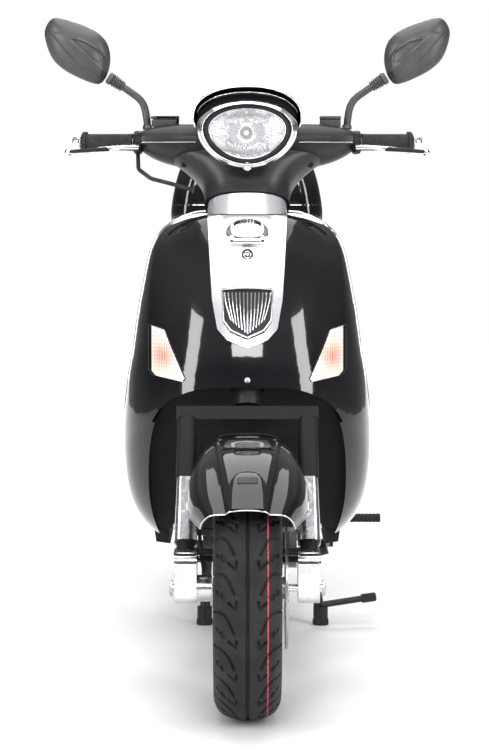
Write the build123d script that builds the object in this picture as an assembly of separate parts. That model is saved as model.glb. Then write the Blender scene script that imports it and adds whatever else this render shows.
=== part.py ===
from build123d import *
import math
import os

# A retro step-through motor scooter, parked on its centre stand, with a top box on its carrier.
# Millimetres. +Z is up, the machine faces -Y, and +X is its own left-hand side. The origin is on the
# floor, midway along the overall length. Panels are shells of one wall thickness, and everything that
# turns with the handlebar is drawn round the steering axis.

# ---- driving dimensions ------------------------------------------------------------------------
OVERALL_LENGTH = 1973
WHEELBASE = 1290
RAKE = 26.5
TRAIL = 80
TYRE_RADIUS = 236.5
TYRE_HALF_WIDTH = 60
RIM_RADIUS = 152
TYRE_WALL = 9
REAR_WHEEL_LIFT = 12
WALL = 5
GAP = 1
RUNNING_CLEARANCE = 0.06
AXLE_RADIUS = 7

FRONT_Y = TYRE_RADIUS - OVERALL_LENGTH / 2
REAR_Y = FRONT_Y + WHEELBASE
REAR_END_Y = OVERALL_LENGTH / 2
FRONT_AXLE_Z = TYRE_RADIUS
REAR_AXLE_Z = TYRE_RADIUS + REAR_WHEEL_LIFT

# ---- steering axis -----------------------------------------------------------------------------
SIN_RAKE = math.sin(math.radians(RAKE))
COS_RAKE = math.cos(math.radians(RAKE))
STEER = Plane(
    origin=(0, FRONT_Y - TRAIL, 0), x_dir=(1, 0, 0), z_dir=(0, SIN_RAKE, COS_RAKE)
)
FORK_HALF_WIDTH = 112
FORK_TUBE_RADIUS = 16
FORK_LEG_Y = -34
FORK_LEG_LOW = 258
STEERER_RADIUS = 14
HEAD_TUBE_RADIUS = 27
CROWN_LEVEL = 575
CROWN_HEIGHT = 26
HEAD_TUBE_LOW = CROWN_LEVEL + CROWN_HEIGHT + 8
HEAD_TUBE_HIGH = 960
NECK_LEVEL = 1028
STEERER_TOP = 1130
BAR_LEVEL = 1160

# ---- handlebar ---------------------------------------------------------------------------------
BAR_Z = 1040
BAR_Y = FRONT_Y + 455
BAR_RADIUS = 11
COWL_HALF_WIDTH = 205
GRIP_START = 222
GRIP_END = 326
GRIP_RADIUS = 16.5
BAR_SWEEP = 9
LEVER_TIP = 352

# ---- seat, body and luggage --------------------------------------------------------------------
COWL_FRONT_Y = REAR_Y - 638
COWL_END_Y = REAR_Y + 210
COWL_TOP_Z = 750
SEAT_HINGE_Y = COWL_FRONT_Y - 14
SEAT_HINGE_Z = COWL_TOP_Z + 2
SEAT_PAN_LOW = COWL_TOP_Z + 3
SEAT_PAN_THICK = 6
SEAT_BASE_Z = SEAT_PAN_LOW + SEAT_PAN_THICK + GAP
RACK_Z = 800
RACK_TUBE = 8
BOX_BASE_Z = RACK_Z + RACK_TUBE + GAP
BOX_SEAM_Z = 905
BOX_TOP_Z = 1092
BOX_HALF_WIDTH = 178
BOX_FRONT_Y = REAR_Y + 66
BOX_LENGTH = REAR_END_Y - BOX_FRONT_Y
BOX_HINGE_Y = BOX_FRONT_Y - 6
FLOOR_Z = 332
FLOOR_THICK = 26
FLOOR_HALF_WIDTH = 172

# ---- stands ------------------------------------------------------------------------------------
STAND_PIVOT_Y = REAR_Y - 325
STAND_PIVOT_Z = 196
STAND_FOOT_Y = REAR_Y - 345
STAND_FOOT_RIGHT_X = -92
STAND_FOOT_LEFT_X = 160
STAND_TUBE = 11
SIDE_PIVOT = (152, FRONT_Y + 560, 226)
SIDE_HINGE = (-0.957, 0.0279, -0.2886)
SIDE_STAND_LENGTH = 232


# ---- helpers -----------------------------------------------------------------------------------
def superellipse(half_x, half_y, power=2.5, count=20):
    """A closed rounded outline, round at power 2 and squarer above it."""
    points = []
    for step in range(count):
        angle = 2 * math.pi * step / count
        c = math.cos(angle)
        s = math.sin(angle)
        x = half_x * math.copysign(abs(c) ** (2 / power), c)
        y = half_y * math.copysign(abs(s) ** (2 / power), s)
        points.append((x, y))
    return make_face(Spline(*points, periodic=True))


def cross_plane(y, x=0, z=0):
    """A section plane across the machine, whose own X is +X and whose own Y is +Z."""
    return Plane(origin=(x, y, z), x_dir=(1, 0, 0), z_dir=(0, -1, 0))


def side_plane(x):
    """A section plane along the machine, whose own X is +Y and whose own Y is +Z."""
    return Plane(origin=(x, 0, 0), x_dir=(0, 1, 0), z_dir=(1, 0, 0))


def body_loft(sections, inset=0, power=3.2):
    """Lofts rounded sections given as (y, half width, low z, high z)."""
    faces = []
    for y, half_width, low, high in sections:
        face = superellipse(half_width - inset, (high - low) / 2 - inset, power)
        faces.append(cross_plane(y, 0, (high + low) / 2) * face)
    return loft(faces)


def rod(start, end, radius):
    """A round bar between two points."""
    start = Vector(*start)
    end = Vector(*end)
    direction = end - start
    plane = Plane(origin=start, z_dir=direction)
    return extrude(plane * Circle(radius), amount=direction.length)


def bent_tube(points, radius, bends):
    """A tube along straight runs joined by tangent arcs."""
    path = FilletPolyline(*points, radius=bends)
    start = Plane(origin=path @ 0, z_dir=path % 0)
    return sweep(start * Circle(radius), path=path)


def across(start_x, end_x, radius, y, z):
    """A cylinder lying across the machine, from start_x to end_x."""
    return rod((start_x, y, z), (end_x, y, z), radius)


def block(low, high):
    """A box given by its two opposite corners."""
    size = [b - a for a, b in zip(low, high)]
    centre = [(a + b) / 2 for a, b in zip(low, high)]
    return Pos(*centre) * Box(*size)


def rounded_block(low, high, axis, radius):
    """A box with the four edges along one axis rounded."""
    plain = block(low, high)
    return fillet(plain.edges().filter_by(axis), radius)


def stadium(first, second, first_radius, second_radius, start_x, end_x):
    """A case with two round ends, drawn in side view from (y, z) centres and extruded across."""
    ends = (Pos(*first) * Circle(first_radius)).edges() + (Pos(*second) * Circle(second_radius)).edges()
    return extrude(side_plane(start_x) * make_hull(ends), amount=end_x - start_x)


def steer_disc(level, half_x, half_y, power=2.4, shift=0):
    """A rounded section square to the steering axis."""
    return STEER * Pos(0, shift, level) * superellipse(half_x, half_y, power)


def column_cylinder(radius, start, end):
    """A cylinder along the steering axis, for the steerer and for the bores round it."""
    return STEER * Pos(0, 0, (start + end) / 2) * Cylinder(radius, end - start)


def full(points):
    """A front-view curve over both sides, given from the centreline outwards."""
    return [(-x, z) for x, z in reversed(points) if x > 0] + points


def hinge(y, z, half_length, barrel, pin, wall_y, ear_drop, leaf_rise):
    """A pin hinge across the machine: the ears of the fixed side, and the moving knuckle with its pin."""
    ear_width = 9
    moving = across(-half_length + 0.5, half_length - 0.5, barrel, y, z)
    moving += across(-half_length - ear_width, half_length + ear_width, pin, y, z)
    moving += block((-half_length + 0.5, y - pin, z), (half_length - 0.5, wall_y + 1, z + leaf_rise))
    ears = []
    bore = across(-2 * half_length, 2 * half_length, pin + RUNNING_CLEARANCE, y, z)
    for side in (-1, 1):
        near = side * half_length
        far = side * (half_length + ear_width)
        ear = across(min(near, far), max(near, far), barrel, y, z)
        ear += block((min(near, far), y - pin, z - ear_drop), (max(near, far), wall_y + 1, z - 2))
        ears.append(ear - bore)
    return ears, moving


def pair(shape):
    """A shape and its mirror image on the other side."""
    return Compound(children=[*shape.solids(), *mirror(shape, Plane.YZ).solids()])


def largest(shape):
    """The largest solid of a shape, without the slivers that a cut leaves."""
    return shape.solids().sort_by(SortBy.VOLUME)[-1]


def save(name, shape):
    """Writes one named piece."""
    solids = shape.solids()
    export_step(solids[0] if len(solids) == 1 else Compound(children=solids), f"parts/{name}.step")


# ---- wheels ------------------------------------------------------------------------------------
BEAD_HALF_WIDTH = 40
HUB_RADIUS = 32
FRONT_HUB_HALF = 58
DISC_X = 70
DISC_RADIUS = 110
DISC_THICK = 4


def tyre(y, z):
    """A low tyre with a round crown, hollow inside."""

    def band(radius, half_width, bead_radius, bead_half):
        points = [
            (bead_radius, bead_half),
            (RIM_RADIUS + (radius - RIM_RADIUS) * 0.46, half_width),
            (RIM_RADIUS + (radius - RIM_RADIUS) * 0.80, half_width * 0.84),
            (RIM_RADIUS + (radius - RIM_RADIUS) * 0.95, half_width * 0.45),
            (radius, 0),
        ]
        ring = [(x, r) for r, x in points] + [(-x, r) for r, x in reversed(points[:-1])]
        curve = Spline(*ring)
        return make_face([curve, Line(curve @ 1, curve @ 0)])

    outer = band(TYRE_RADIUS, TYRE_HALF_WIDTH, RIM_RADIUS, BEAD_HALF_WIDTH)
    inner = band(
        TYRE_RADIUS - TYRE_WALL - 2,
        TYRE_HALF_WIDTH - TYRE_WALL,
        RIM_RADIUS - 1,
        BEAD_HALF_WIDTH - TYRE_WALL,
    )
    return Pos(0, y, z) * revolve(outer - inner, axis=Axis.X)


def rim(y, z, hub_half):
    """A five-spoke cast wheel with its hub bored for the axle."""
    barrel_half = BEAD_HALF_WIDTH - GAP
    barrel = Rot(0, 90, 0) * (
        Cylinder(RIM_RADIUS, 2 * barrel_half) - Cylinder(RIM_RADIUS - 10, 2 * barrel_half)
    )
    hub = Rot(0, 90, 0) * Cylinder(HUB_RADIUS, 2 * hub_half)
    wheel = barrel + hub
    for step in range(5):
        spoke = Pos(0, 0, RIM_RADIUS / 2) * Box(34, 30, RIM_RADIUS - 10)
        wheel += Rot(72 * step, 0, 0) * spoke
    wheel -= Rot(0, 90, 0) * Cylinder(AXLE_RADIUS + RUNNING_CLEARANCE, 4 * hub_half)
    return Pos(0, y, z) * wheel


def brake_disc():
    """The front brake disc and its carrier, on the left of the hub."""
    disc = Rot(0, 90, 0) * (Cylinder(DISC_RADIUS, DISC_THICK) - Cylinder(DISC_RADIUS - 34, DISC_THICK))
    for step in range(5):
        disc += Rot(72 * step, 0, 0) * Pos(0, 0, DISC_RADIUS / 2) * Box(DISC_THICK, 18, DISC_RADIUS - 30)
    centre = Rot(0, 90, 0) * Cylinder(HUB_RADIUS, DISC_THICK)
    bore = Rot(0, 90, 0) * Cylinder(AXLE_RADIUS + 1, 4 * DISC_THICK)
    spacer_length = DISC_X - DISC_THICK / 2 - FRONT_HUB_HALF
    spacer = Pos(-DISC_THICK / 2 - spacer_length / 2, 0, 0) * Rot(0, 90, 0) * Cylinder(20, spacer_length)
    return Pos(DISC_X, FRONT_Y, FRONT_AXLE_Z) * (disc + centre + spacer - Pos(-6, 0, 0) * bore)


# ---- fork --------------------------------------------------------------------------------------
LINK_INNER_X = 91
LINK_OUTER_X = 130
COVER_BREAK = 455
COVER_TOP = 568
COVER_LOW = 332
LINK_TOP_Z = 304
LINK_LOW_Z = 212


def fork():
    """Steerer, crown and the two leg tubes, with the axle held in the leg ends."""
    steerer = column_cylinder(STEERER_RADIUS, CROWN_LEVEL, STEERER_TOP)
    crown = STEER * Pos(0, -8, CROWN_LEVEL + CROWN_HEIGHT / 2) * Box(
        2 * FORK_HALF_WIDTH + 40, 44, CROWN_HEIGHT
    )
    leg = STEER * Pos(FORK_HALF_WIDTH, FORK_LEG_Y, (FORK_LEG_LOW + CROWN_LEVEL) / 2) * Cylinder(
        FORK_TUBE_RADIUS, CROWN_LEVEL - FORK_LEG_LOW
    )
    return steerer + crown + leg + mirror(leg, Plane.YZ)


def fork_cover(low, high, low_size, high_size):
    """One tapered cover round a fork leg, given its sizes across and along at both ends."""
    faces = []
    for level, (half_x, half_y) in ((low, low_size), (high, high_size)):
        plane = Plane(STEER.location * Location((FORK_HALF_WIDTH, FORK_LEG_Y, level)))
        faces.append(plane * superellipse(half_x, half_y, 3.5))
    leg = STEER * Pos(FORK_HALF_WIDTH, FORK_LEG_Y, (low + high) / 2) * Cylinder(
        FORK_TUBE_RADIUS, high - low + 40
    )
    return pair(loft(faces) - leg)


def axle_caps():
    """The polished caps on the fork ends with the axle between them, and the speedometer drive."""
    cap = rounded_block(
        (LINK_INNER_X, FRONT_Y - 32, LINK_LOW_Z), (LINK_OUTER_X, FRONT_Y + 60, LINK_TOP_Z), Axis.X, 18
    )
    axle = across(-LINK_OUTER_X - 6, LINK_OUTER_X + 6, AXLE_RADIUS, FRONT_Y, FRONT_AXLE_Z)
    drive = across(-LINK_INNER_X, -FRONT_HUB_HALF - 6, 24, FRONT_Y, FRONT_AXLE_Z)
    return cap + mirror(cap, Plane.YZ) + axle + drive


def caliper():
    """The front brake caliper astride the disc, behind the left fork end."""
    low = (DISC_X - 14, FRONT_Y + 62, 262)
    high = (LINK_INNER_X - GAP, FRONT_Y + 122, 338)
    outer = rounded_block(low, high, Axis.X, 14)
    slot = across(DISC_X - 5, DISC_X + 5, DISC_RADIUS + 3, FRONT_Y, FRONT_AXLE_Z)
    return outer - slot


FENDER_RADIUS = 281
FENDER_WALL = 3.5


def fender():
    """A helmet-shaped front mudguard that flares to the front."""
    faces = []
    table = [
        (38, 84, 66),
        (52, 104, 88),
        (70, 106, 92),
        (88, 92, 84),
        (106, 84, 78),
        (126, 82, 74),
        (148, 80, 70),
    ]
    for angle, half_width, skirt in table:
        radians = math.radians(angle)
        radius = FENDER_RADIUS

        def band(offset):
            return [
                (-half_width + offset, radius - skirt),
                (-half_width * 0.93 + offset, radius - skirt * 0.52),
                (-half_width * 0.66, radius - skirt * 0.14 - offset),
                (0, radius - offset),
                (half_width * 0.66, radius - skirt * 0.14 - offset),
                (half_width * 0.93 - offset, radius - skirt * 0.52),
                (half_width - offset, radius - skirt),
            ]

        outer = Spline(*band(0))
        inner = Spline(*band(FENDER_WALL))
        face = make_face([outer, Line(outer @ 1, inner @ 1), inner, Line(inner @ 0, outer @ 0)])
        radial = Plane(
            origin=(0, FRONT_Y, FRONT_AXLE_Z),
            x_dir=(1, 0, 0),
            z_dir=(0, -math.sin(radians), -math.cos(radians)),
        )
        faces.append(radial * face)
    return loft(faces)


# ---- handlebar group ---------------------------------------------------------------------------
SEAM_Z = 1040
BAR_BEND_X = COWL_HALF_WIDTH - 10
HEADLIGHT_Y = BAR_Y - 165
HEADLIGHT_Z = 1060
LENS_HALF_WIDTH = 77
LENS_HALF_HEIGHT = 50
DIAL_TILT = 40


def bar_point(x):
    """A point on the swept handlebar at a distance x from the centre."""
    past = max(0.0, abs(x) - BAR_BEND_X)
    return (x, BAR_Y + past * math.tan(math.radians(BAR_SWEEP)), BAR_Z)


def bar_rod(start_x, end_x, radius):
    """A round length of one end of the handlebar."""
    return rod(bar_point(start_x), bar_point(end_x), radius)


def handlebar():
    """The steel bar inside the cowl, with the bright weights on its two ends."""
    corners = [bar_point(x) for x in (-GRIP_END, -BAR_BEND_X, BAR_BEND_X, GRIP_END)]
    bar = bent_tube(corners, BAR_RADIUS, 40)
    near = Vector(*bar_point(GRIP_END))
    plane = Plane(origin=near, z_dir=Vector(*bar_point(GRIP_END + 16)) - near)
    weight = loft([plane * Circle(12), plane.offset(16) * Circle(9)])
    return bar + weight + mirror(weight, Plane.YZ)


def cowl_body():
    """The whole handlebar cowl with its neck, before it is split at the seam."""
    faces = []
    table = [
        (-COWL_HALF_WIDTH, 30, 1043, 21),
        (-150, 42, 1036, 40),
        (-80, 50, 1032, 46),
        (0, 54, 1031, 47),
        (80, 50, 1032, 46),
        (150, 42, 1036, 40),
        (COWL_HALF_WIDTH, 30, 1043, 21),
    ]
    for x, half_y, centre_z, half_z in table:
        plane = Plane(origin=(x, BAR_Y, centre_z), x_dir=(0, 1, 0), z_dir=(1, 0, 0))
        faces.append(plane * superellipse(half_y, half_z, 2.6))
    neck = loft(
        [
            steer_disc(NECK_LEVEL, 82, 60),
            steer_disc(NECK_LEVEL + 30, 86, 61),
            steer_disc(NECK_LEVEL + 62, 106, 64),
            steer_disc(NECK_LEVEL + 92, 142, 58),
        ]
    )
    return loft(faces) + neck


def headlight_outline(half_width, half_height):
    """The rounded three-sided outline of the headlight, wide at the top."""
    points = []
    for step in range(24):
        angle = 2 * math.pi * step / 24
        s = math.sin(angle)
        narrowing = 1 - 0.17 * ((1 - s) / 2) ** 1.5
        height = s * (0.86 if s > 0 else 1.04)
        points.append((half_width * math.cos(angle) * narrowing, HEADLIGHT_Z + half_height * height))
    return make_face(Spline(*points, periodic=True))


def dial_plane():
    """The sloped plane of the instruments, seen by the rider."""
    tilt = math.radians(DIAL_TILT)
    return Plane(
        origin=(0, HEADLIGHT_Y + 176, 1092), x_dir=(1, 0, 0), z_dir=(0, -math.cos(tilt), -math.sin(tilt))
    )


def headlight_shell():
    """The pod that carries the headlight, under the hood of the instruments."""
    pod = loft(
        [
            cross_plane(HEADLIGHT_Y + 12) * headlight_outline(97, 65),
            cross_plane(HEADLIGHT_Y + 45) * headlight_outline(100, 67),
            cross_plane(HEADLIGHT_Y + 120) * headlight_outline(90, 60),
        ]
    )
    hood = loft(
        [
            cross_plane(HEADLIGHT_Y + 24) * Pos(0, 1080) * superellipse(94, 42, 2.2),
            cross_plane(HEADLIGHT_Y + 60) * Pos(0, 1087) * superellipse(102, 57, 2.2),
            cross_plane(HEADLIGHT_Y + 120) * Pos(0, 1085) * superellipse(100, 56, 2.2),
            dial_plane() * superellipse(84, 44, 2.3),
        ]
    )
    mouth = headlight_outline(LENS_HALF_WIDTH + GAP, LENS_HALF_HEIGHT + GAP)
    bowl = extrude(cross_plane(HEADLIGHT_Y + 62) * mouth, amount=80)
    return pod + hood - bowl


def headlight_lens():
    """The clear domed lens in the mouth of the pod."""
    return loft(
        [
            cross_plane(HEADLIGHT_Y + 20) * headlight_outline(LENS_HALF_WIDTH, LENS_HALF_HEIGHT),
            cross_plane(HEADLIGHT_Y + 10) * headlight_outline(LENS_HALF_WIDTH - 2, LENS_HALF_HEIGHT - 2),
            cross_plane(HEADLIGHT_Y + 2) * headlight_outline(LENS_HALF_WIDTH - 16, LENS_HALF_HEIGHT - 13),
        ]
    )


def instrument_dial():
    """The oval instrument on the sloped face behind the hood."""
    return extrude(dial_plane().offset(-GAP / 2) * Pos(0, 6) * Ellipse(66, 24), amount=-8)


def grip():
    """A rubber grip with a flange at its outer end."""
    sleeve = bar_rod(GRIP_START, GRIP_END - 6, GRIP_RADIUS)
    flange = bar_rod(GRIP_END - 10, GRIP_END - 2, GRIP_RADIUS + 5)
    return sleeve + flange - bar_rod(GRIP_START - 5, GRIP_END + 5, BAR_RADIUS)


def switch_block():
    """The lever bracket and switches between the cowl and the grip."""
    faces = []
    for x, half_y, half_z in ((COWL_HALF_WIDTH + 0.5, 27, 22), (GRIP_START - 4, 21, 19)):
        plane = Plane(origin=(x, BAR_Y, BAR_Z), x_dir=(0, 1, 0), z_dir=(1, 0, 0))
        faces.append(plane * superellipse(half_y, half_z, 3))
    clamp = block((COWL_HALF_WIDTH + 1, BAR_Y - 40, BAR_Z - 19), (GRIP_START - 6, BAR_Y - 10, BAR_Z - 3))
    return loft(faces) + clamp - bar_rod(BAR_BEND_X + 5, GRIP_END, BAR_RADIUS)


def lever():
    """A ball-ended brake lever in front of the grip."""
    root_x = COWL_HALF_WIDTH + 9
    root_y = BAR_Y - 48
    stations = (
        ((root_x, root_y, BAR_Z - 12), 7, 5),
        ((GRIP_START + 40, BAR_Y - 58, BAR_Z - 13), 6, 4.5),
        ((LEVER_TIP - 5, BAR_Y - 38, BAR_Z - 19), 5, 3.5),
    )
    faces = []
    for point, half_y, half_z in stations:
        plane = Plane(origin=point, x_dir=(0, 1, 0), z_dir=(1, 0, 0))
        faces.append(plane * Ellipse(half_y, half_z))
    boss = rod((root_x, root_y, BAR_Z - 18), (root_x, root_y, BAR_Z - 6), 7)
    return loft(faces) + Pos(*stations[-1][0]) * Sphere(6) + boss


def reservoir(centre_x, half_x, half_y):
    """A small brake fluid reservoir standing on the cowl."""
    return rounded_block(
        (centre_x - half_x, BAR_Y + 2 - half_y, 1069),
        (centre_x + half_x, BAR_Y + 2 + half_y, 1091),
        Axis.Z,
        6,
    )


MIRROR_BASE = (194, BAR_Y + 2, 1060)
MIRROR_BEND = (209, BAR_Y + 4, 1124)
MIRROR_JOINT = (258, BAR_Y + 6, 1160)
MIRROR_CENTRE = (330, BAR_Y + 8, 1216)
MIRROR_TILT = 40
MIRROR_HALF_LENGTH = 84
MIRROR_HALF_HEIGHT = 47


def mirror_outline(scale):
    """The leaf-shaped outline of the mirror, pointed towards the stalk."""
    points = []
    for step in range(20):
        angle = 2 * math.pi * step / 20
        along = MIRROR_HALF_LENGTH * math.cos(angle)
        height = MIRROR_HALF_HEIGHT * math.sin(angle) * (1 + 0.30 * math.cos(angle)) ** 0.9
        points.append((along * scale, height * scale))
    return make_face(Spline(*points, periodic=True))


def rear_mirror():
    """One mirror: its bent stalk with the rubber boot, the shell, and the glass set in its back."""
    corner = (MIRROR_BASE[0], BAR_Y + 2, 1100)
    stalk = bent_tube([MIRROR_BASE, corner, MIRROR_BEND, MIRROR_JOINT], 6.5, [20, 22])
    foot = rod(MIRROR_BASE, (MIRROR_BASE[0], MIRROR_BASE[1], MIRROR_BASE[2] + 22), 10)
    joint = Vector(*MIRROR_JOINT)
    far = (joint - Vector(*MIRROR_BEND)).normalized()
    boot = rod(tuple(joint - far * 22), tuple(joint + far * 4), 10)
    tilt = math.radians(MIRROR_TILT)
    base = Plane(origin=MIRROR_CENTRE, x_dir=(math.cos(tilt), 0, math.sin(tilt)), z_dir=(0, -1, 0))
    shell = loft(
        [
            base.offset(-12) * mirror_outline(0.97),
            base.offset(2) * mirror_outline(1.0),
            base.offset(22) * mirror_outline(0.80),
            base.offset(33) * mirror_outline(0.42),
        ]
    )
    recess = extrude(base.offset(-14) * mirror_outline(0.91), amount=5)
    glass = extrude(base.offset(-13.5) * mirror_outline(0.90), amount=4)
    return stalk + foot + boot, shell - recess - stalk - boot, glass


def control_cables():
    """The throttle cable, the speedometer cable and the front brake hose, all on the steering."""
    throttle = bent_tube(
        [
            (-213, BAR_Y - 10, BAR_Z - 22),
            (-211, BAR_Y - 36, BAR_Z - 52),
            (-186, BAR_Y - 64, BAR_Z - 70),
            (-146, BAR_Y - 76, BAR_Z - 80),
            (-104, BAR_Y - 78, BAR_Z - 92),
        ],
        4,
        [18, 22, 30],
    )
    speedometer = bent_tube(
        [
            (-87, FRONT_Y + 78, 402),
            (-87, FRONT_Y + 56, 350),
            (-86, FRONT_Y + 28, 306),
            (-78, FRONT_Y + 6, 265),
        ],
        3.5,
        [80, 80],
    )
    hose = bent_tube(
        [
            (84, FRONT_Y + 92, 339),
            (84, FRONT_Y + 90, 358),
            (84, FRONT_Y + 94, 378),
            (84, FRONT_Y + 104, 397),
        ],
        4,
        [40, 40],
    )
    return throttle, speedometer, hose


# ---- leg shield --------------------------------------------------------------------------------
# (height, half width, front offset, rear offset) of each level, offsets measured from the front axle
SHIELD_LEVELS = [
    (284, 176, 262, 398),
    (305, 198, 236, 398),
    (350, 224, 206, 395),
    (400, 235, 188, 390),
    (460, 239, 174, 385),
    (530, 235, 166, 380),
    (600, 226, 166, 378),
    (680, 213, 186, 382),
    (760, 200, 222, 390),
    (820, 188, 256, 398),
    (862, 170, 284, 405),
    (888, 140, 304, 408),
    (903, 100, 318, 410),
]
SHIELD_STEPS = 8
SHIELD_BACK = 470
SHIELD_DEPTH = 400
PANEL_PROUD = 6
STRIP_PROUD = 8
GRILLE_PROUD = 5
LAMP_PROUD = 9
ARCH = [
    (0, 588),
    (80, 582),
    (130, 566),
    (165, 532),
    (182, 480),
    (187, 420),
    (184, 350),
    (170, 290),
    (150, 230),
]
PANEL_TOP = [
    (0, 899),
    (70, 899),
    (120, 892),
    (158, 868),
    (178, 820),
    (186, 740),
    (188, 640),
    (186, 560),
    (180, 513),
]
PANEL_LOW = [(0, 588), (70, 584), (120, 571), (155, 549), (180, 513)]
STRIP_HALF_TOP = 76
GRILLE_OUTLINE = [(0, 766), (48, 766), (44, 704), (30, 686), (0, 673)]
STRIP_OUTLINE = [(0, 902), (STRIP_HALF_TOP, 902), (66, 745), (56, 692), (38, 672), (0, 658)]
INDICATOR_OUTLINE = [(181, 694), (156, 688), (145, 661), (117, 600), (121, 594), (172, 603), (180, 612)]
COLUMN_RADIUS = 56
WELL_PROFILE = [(162, 582), (220, 573), (258, 546), (282, 500), (298, 440), (310, 370), (320, 300)]


def shield_curve(row, grow):
    """The rounded plan curve of one level of the shield, moved outwards by grow."""
    level, half_width, front, rear = row
    points = []
    for step in range(-SHIELD_STEPS, SHIELD_STEPS + 1):
        angle = math.radians(90 * step / SHIELD_STEPS)
        x = (half_width + grow) * math.sin(angle)
        y = rear - (rear - front + grow) * math.cos(angle) ** 0.9
        points.append((x, y))
    return Pos(0, FRONT_Y, level) * Spline(*points)


def shield_band(inner_grow, outer_grow):
    """A skin that follows the leg shield between two offsets."""
    faces = []
    for row in SHIELD_LEVELS:
        outer = shield_curve(row, outer_grow)
        inner = shield_curve(row, inner_grow)
        faces.append(make_face([outer, Line(outer @ 1, inner @ 1), inner, Line(inner @ 0, outer @ 0)]))
    return loft(faces)


def shield_core(grow, rear_extra):
    """The solid space inside the shield, carried on behind its rear edge."""
    faces = []
    for row in SHIELD_LEVELS:
        front = shield_curve(row, grow)
        back_left = front @ 1 + Vector(0, rear_extra, 0)
        back_right = front @ 0 + Vector(0, rear_extra, 0)
        left = Line(front @ 1, back_left)
        back = Line(back_left, back_right)
        right = Line(back_right, front @ 0)
        faces.append(make_face([front, left, back, right]))
    return loft(faces)


def front_prism(face):
    """A front-view face as a prism through the whole front of the shield."""
    return extrude(cross_plane(FRONT_Y + SHIELD_BACK) * face, amount=SHIELD_DEPTH)


def polygon_prism(points, grow=0):
    """A prism from front-view corners, let out by grow."""
    face = make_face(Polyline(*points, close=True))
    if grow:
        face = offset(face, grow, kind=Kind.INTERSECTION)
    return front_prism(face)


def arch_prism():
    """The opening for the front wheel."""
    curve = Spline(*full(ARCH))
    low = 150
    left = Vector(ARCH[-1][0], low)
    right = Vector(-ARCH[-1][0], low)
    return front_prism(make_face([curve, Line(curve @ 1, left), Line(left, right), Line(right, curve @ 0)]))


def leg_shield():
    """The rounded leg shield, arched over the front wheel and closed at the top."""
    top_row = SHIELD_LEVELS[-1]
    top_curve = shield_curve(top_row, 0)
    top = extrude(make_face([top_curve, Line(top_curve @ 1, top_curve @ 0)]), amount=-WALL)
    shell = shield_band(-WALL, 0) - arch_prism() + top
    return shell - column_cylinder(COLUMN_RADIUS, 700, 1100)


def front_pieces():
    """The front panel, the bright strip, the grille and the two indicators, side by side on the shield."""
    lamp = polygon_prism(INDICATOR_OUTLINE)
    lamp_hole = polygon_prism(INDICATOR_OUTLINE, GAP)
    panel_face = make_face([Spline(*full(PANEL_TOP)), Spline(*full(PANEL_LOW))])
    panel = shield_band(0.3, PANEL_PROUD) & front_prism(panel_face)
    panel = panel - polygon_prism(full(STRIP_OUTLINE[::-1]), GAP) - lamp_hole - mirror(lamp_hole, Plane.YZ)
    strip = shield_band(0.3, STRIP_PROUD) & polygon_prism(full(STRIP_OUTLINE[::-1]))
    return {
        "front_panel": panel,
        "centre_strip": strip - polygon_prism(full(GRILLE_OUTLINE[::-1]), GAP),
        "front_grille": shield_band(0.3, GRILLE_PROUD) & polygon_prism(full(GRILLE_OUTLINE[::-1])),
        "steering_collar": steering_collar(),
        "front_indicators": shield_band(0.3, LAMP_PROUD) & (lamp + mirror(lamp, Plane.YZ)),
    }


def steering_collar():
    """The bright collar on top of the leg shield, round the neck."""
    low = NECK_LEVEL - 64
    high = NECK_LEVEL - 3
    outer = loft([steer_disc(low, 78, 60), steer_disc(high, 76, 58)])
    inner = loft([steer_disc(low - 2, 71, 53), steer_disc(high + 2, 70, 52)])
    below = block((-200, FRONT_Y + 200, 700), (200, FRONT_Y + 600, SHIELD_LEVELS[-1][0] + GAP / 2))
    return outer - inner - below


def wheel_well(core):
    """The liner behind and above the front wheel."""
    points = [(FRONT_Y + y, z) for y, z in WELL_PROFILE]
    curve = Spline(*points)
    inside = Spline(*[(y + 4, z + 4) for y, z in points])
    face = make_face([curve, Line(curve @ 1, inside @ 1), inside, Line(inside @ 0, curve @ 0)])
    sheet = extrude(side_plane(-260) * face, amount=520)
    return (sheet & core) - column_cylinder(HEAD_TUBE_RADIUS + 4, 500, 1000)


def knee_panel(core):
    """The inner panel in front of the rider's knees."""
    faces = []
    for level, back in ((FLOOR_Z - 30, 382), (600, 366), (820, 384), (895, 390)):
        faces.append(Pos(0, FRONT_Y + back, level) * Rectangle(600, 6))
    return (loft(faces) & core) - column_cylinder(COLUMN_RADIUS + 2, 700, 1100)


# ---- floor and rear body -----------------------------------------------------------------------
FLOOR_FRONT_Y = FRONT_Y + 402
FLOOR_BACK_Y = COWL_FRONT_Y - GAP
SKIRT_DEPTH = 74
SKIRT_PROUD = 14
# (offset from the rear axle, half width, low z, high z)
COWL_SECTIONS = [
    (-638, 118, 260, 800),
    (-560, 148, 270, 800),
    (-440, 172, 290, 800),
    (-280, 187, 330, 800),
    (-100, 188, 390, 800),
    (60, 172, 460, 800),
    (150, 146, 520, 800),
    (210, 106, 560, 800),
]
# (offset from the rear axle, height) of the cowl's lower edge
COWL_LOW_EDGE = [
    (-638, 306),
    (-540, 318),
    (-420, 366),
    (-280, 420),
    (-100, 462),
    (60, 520),
    (150, 584),
    (210, 640),
]
STORAGE_FRONT_Y = REAR_Y - 530
STORAGE_BACK_Y = REAR_Y - 30
STORAGE_LOW_Z = 520
STORAGE_HALF_WIDTH = 108
STORAGE_WALL = 4
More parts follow.
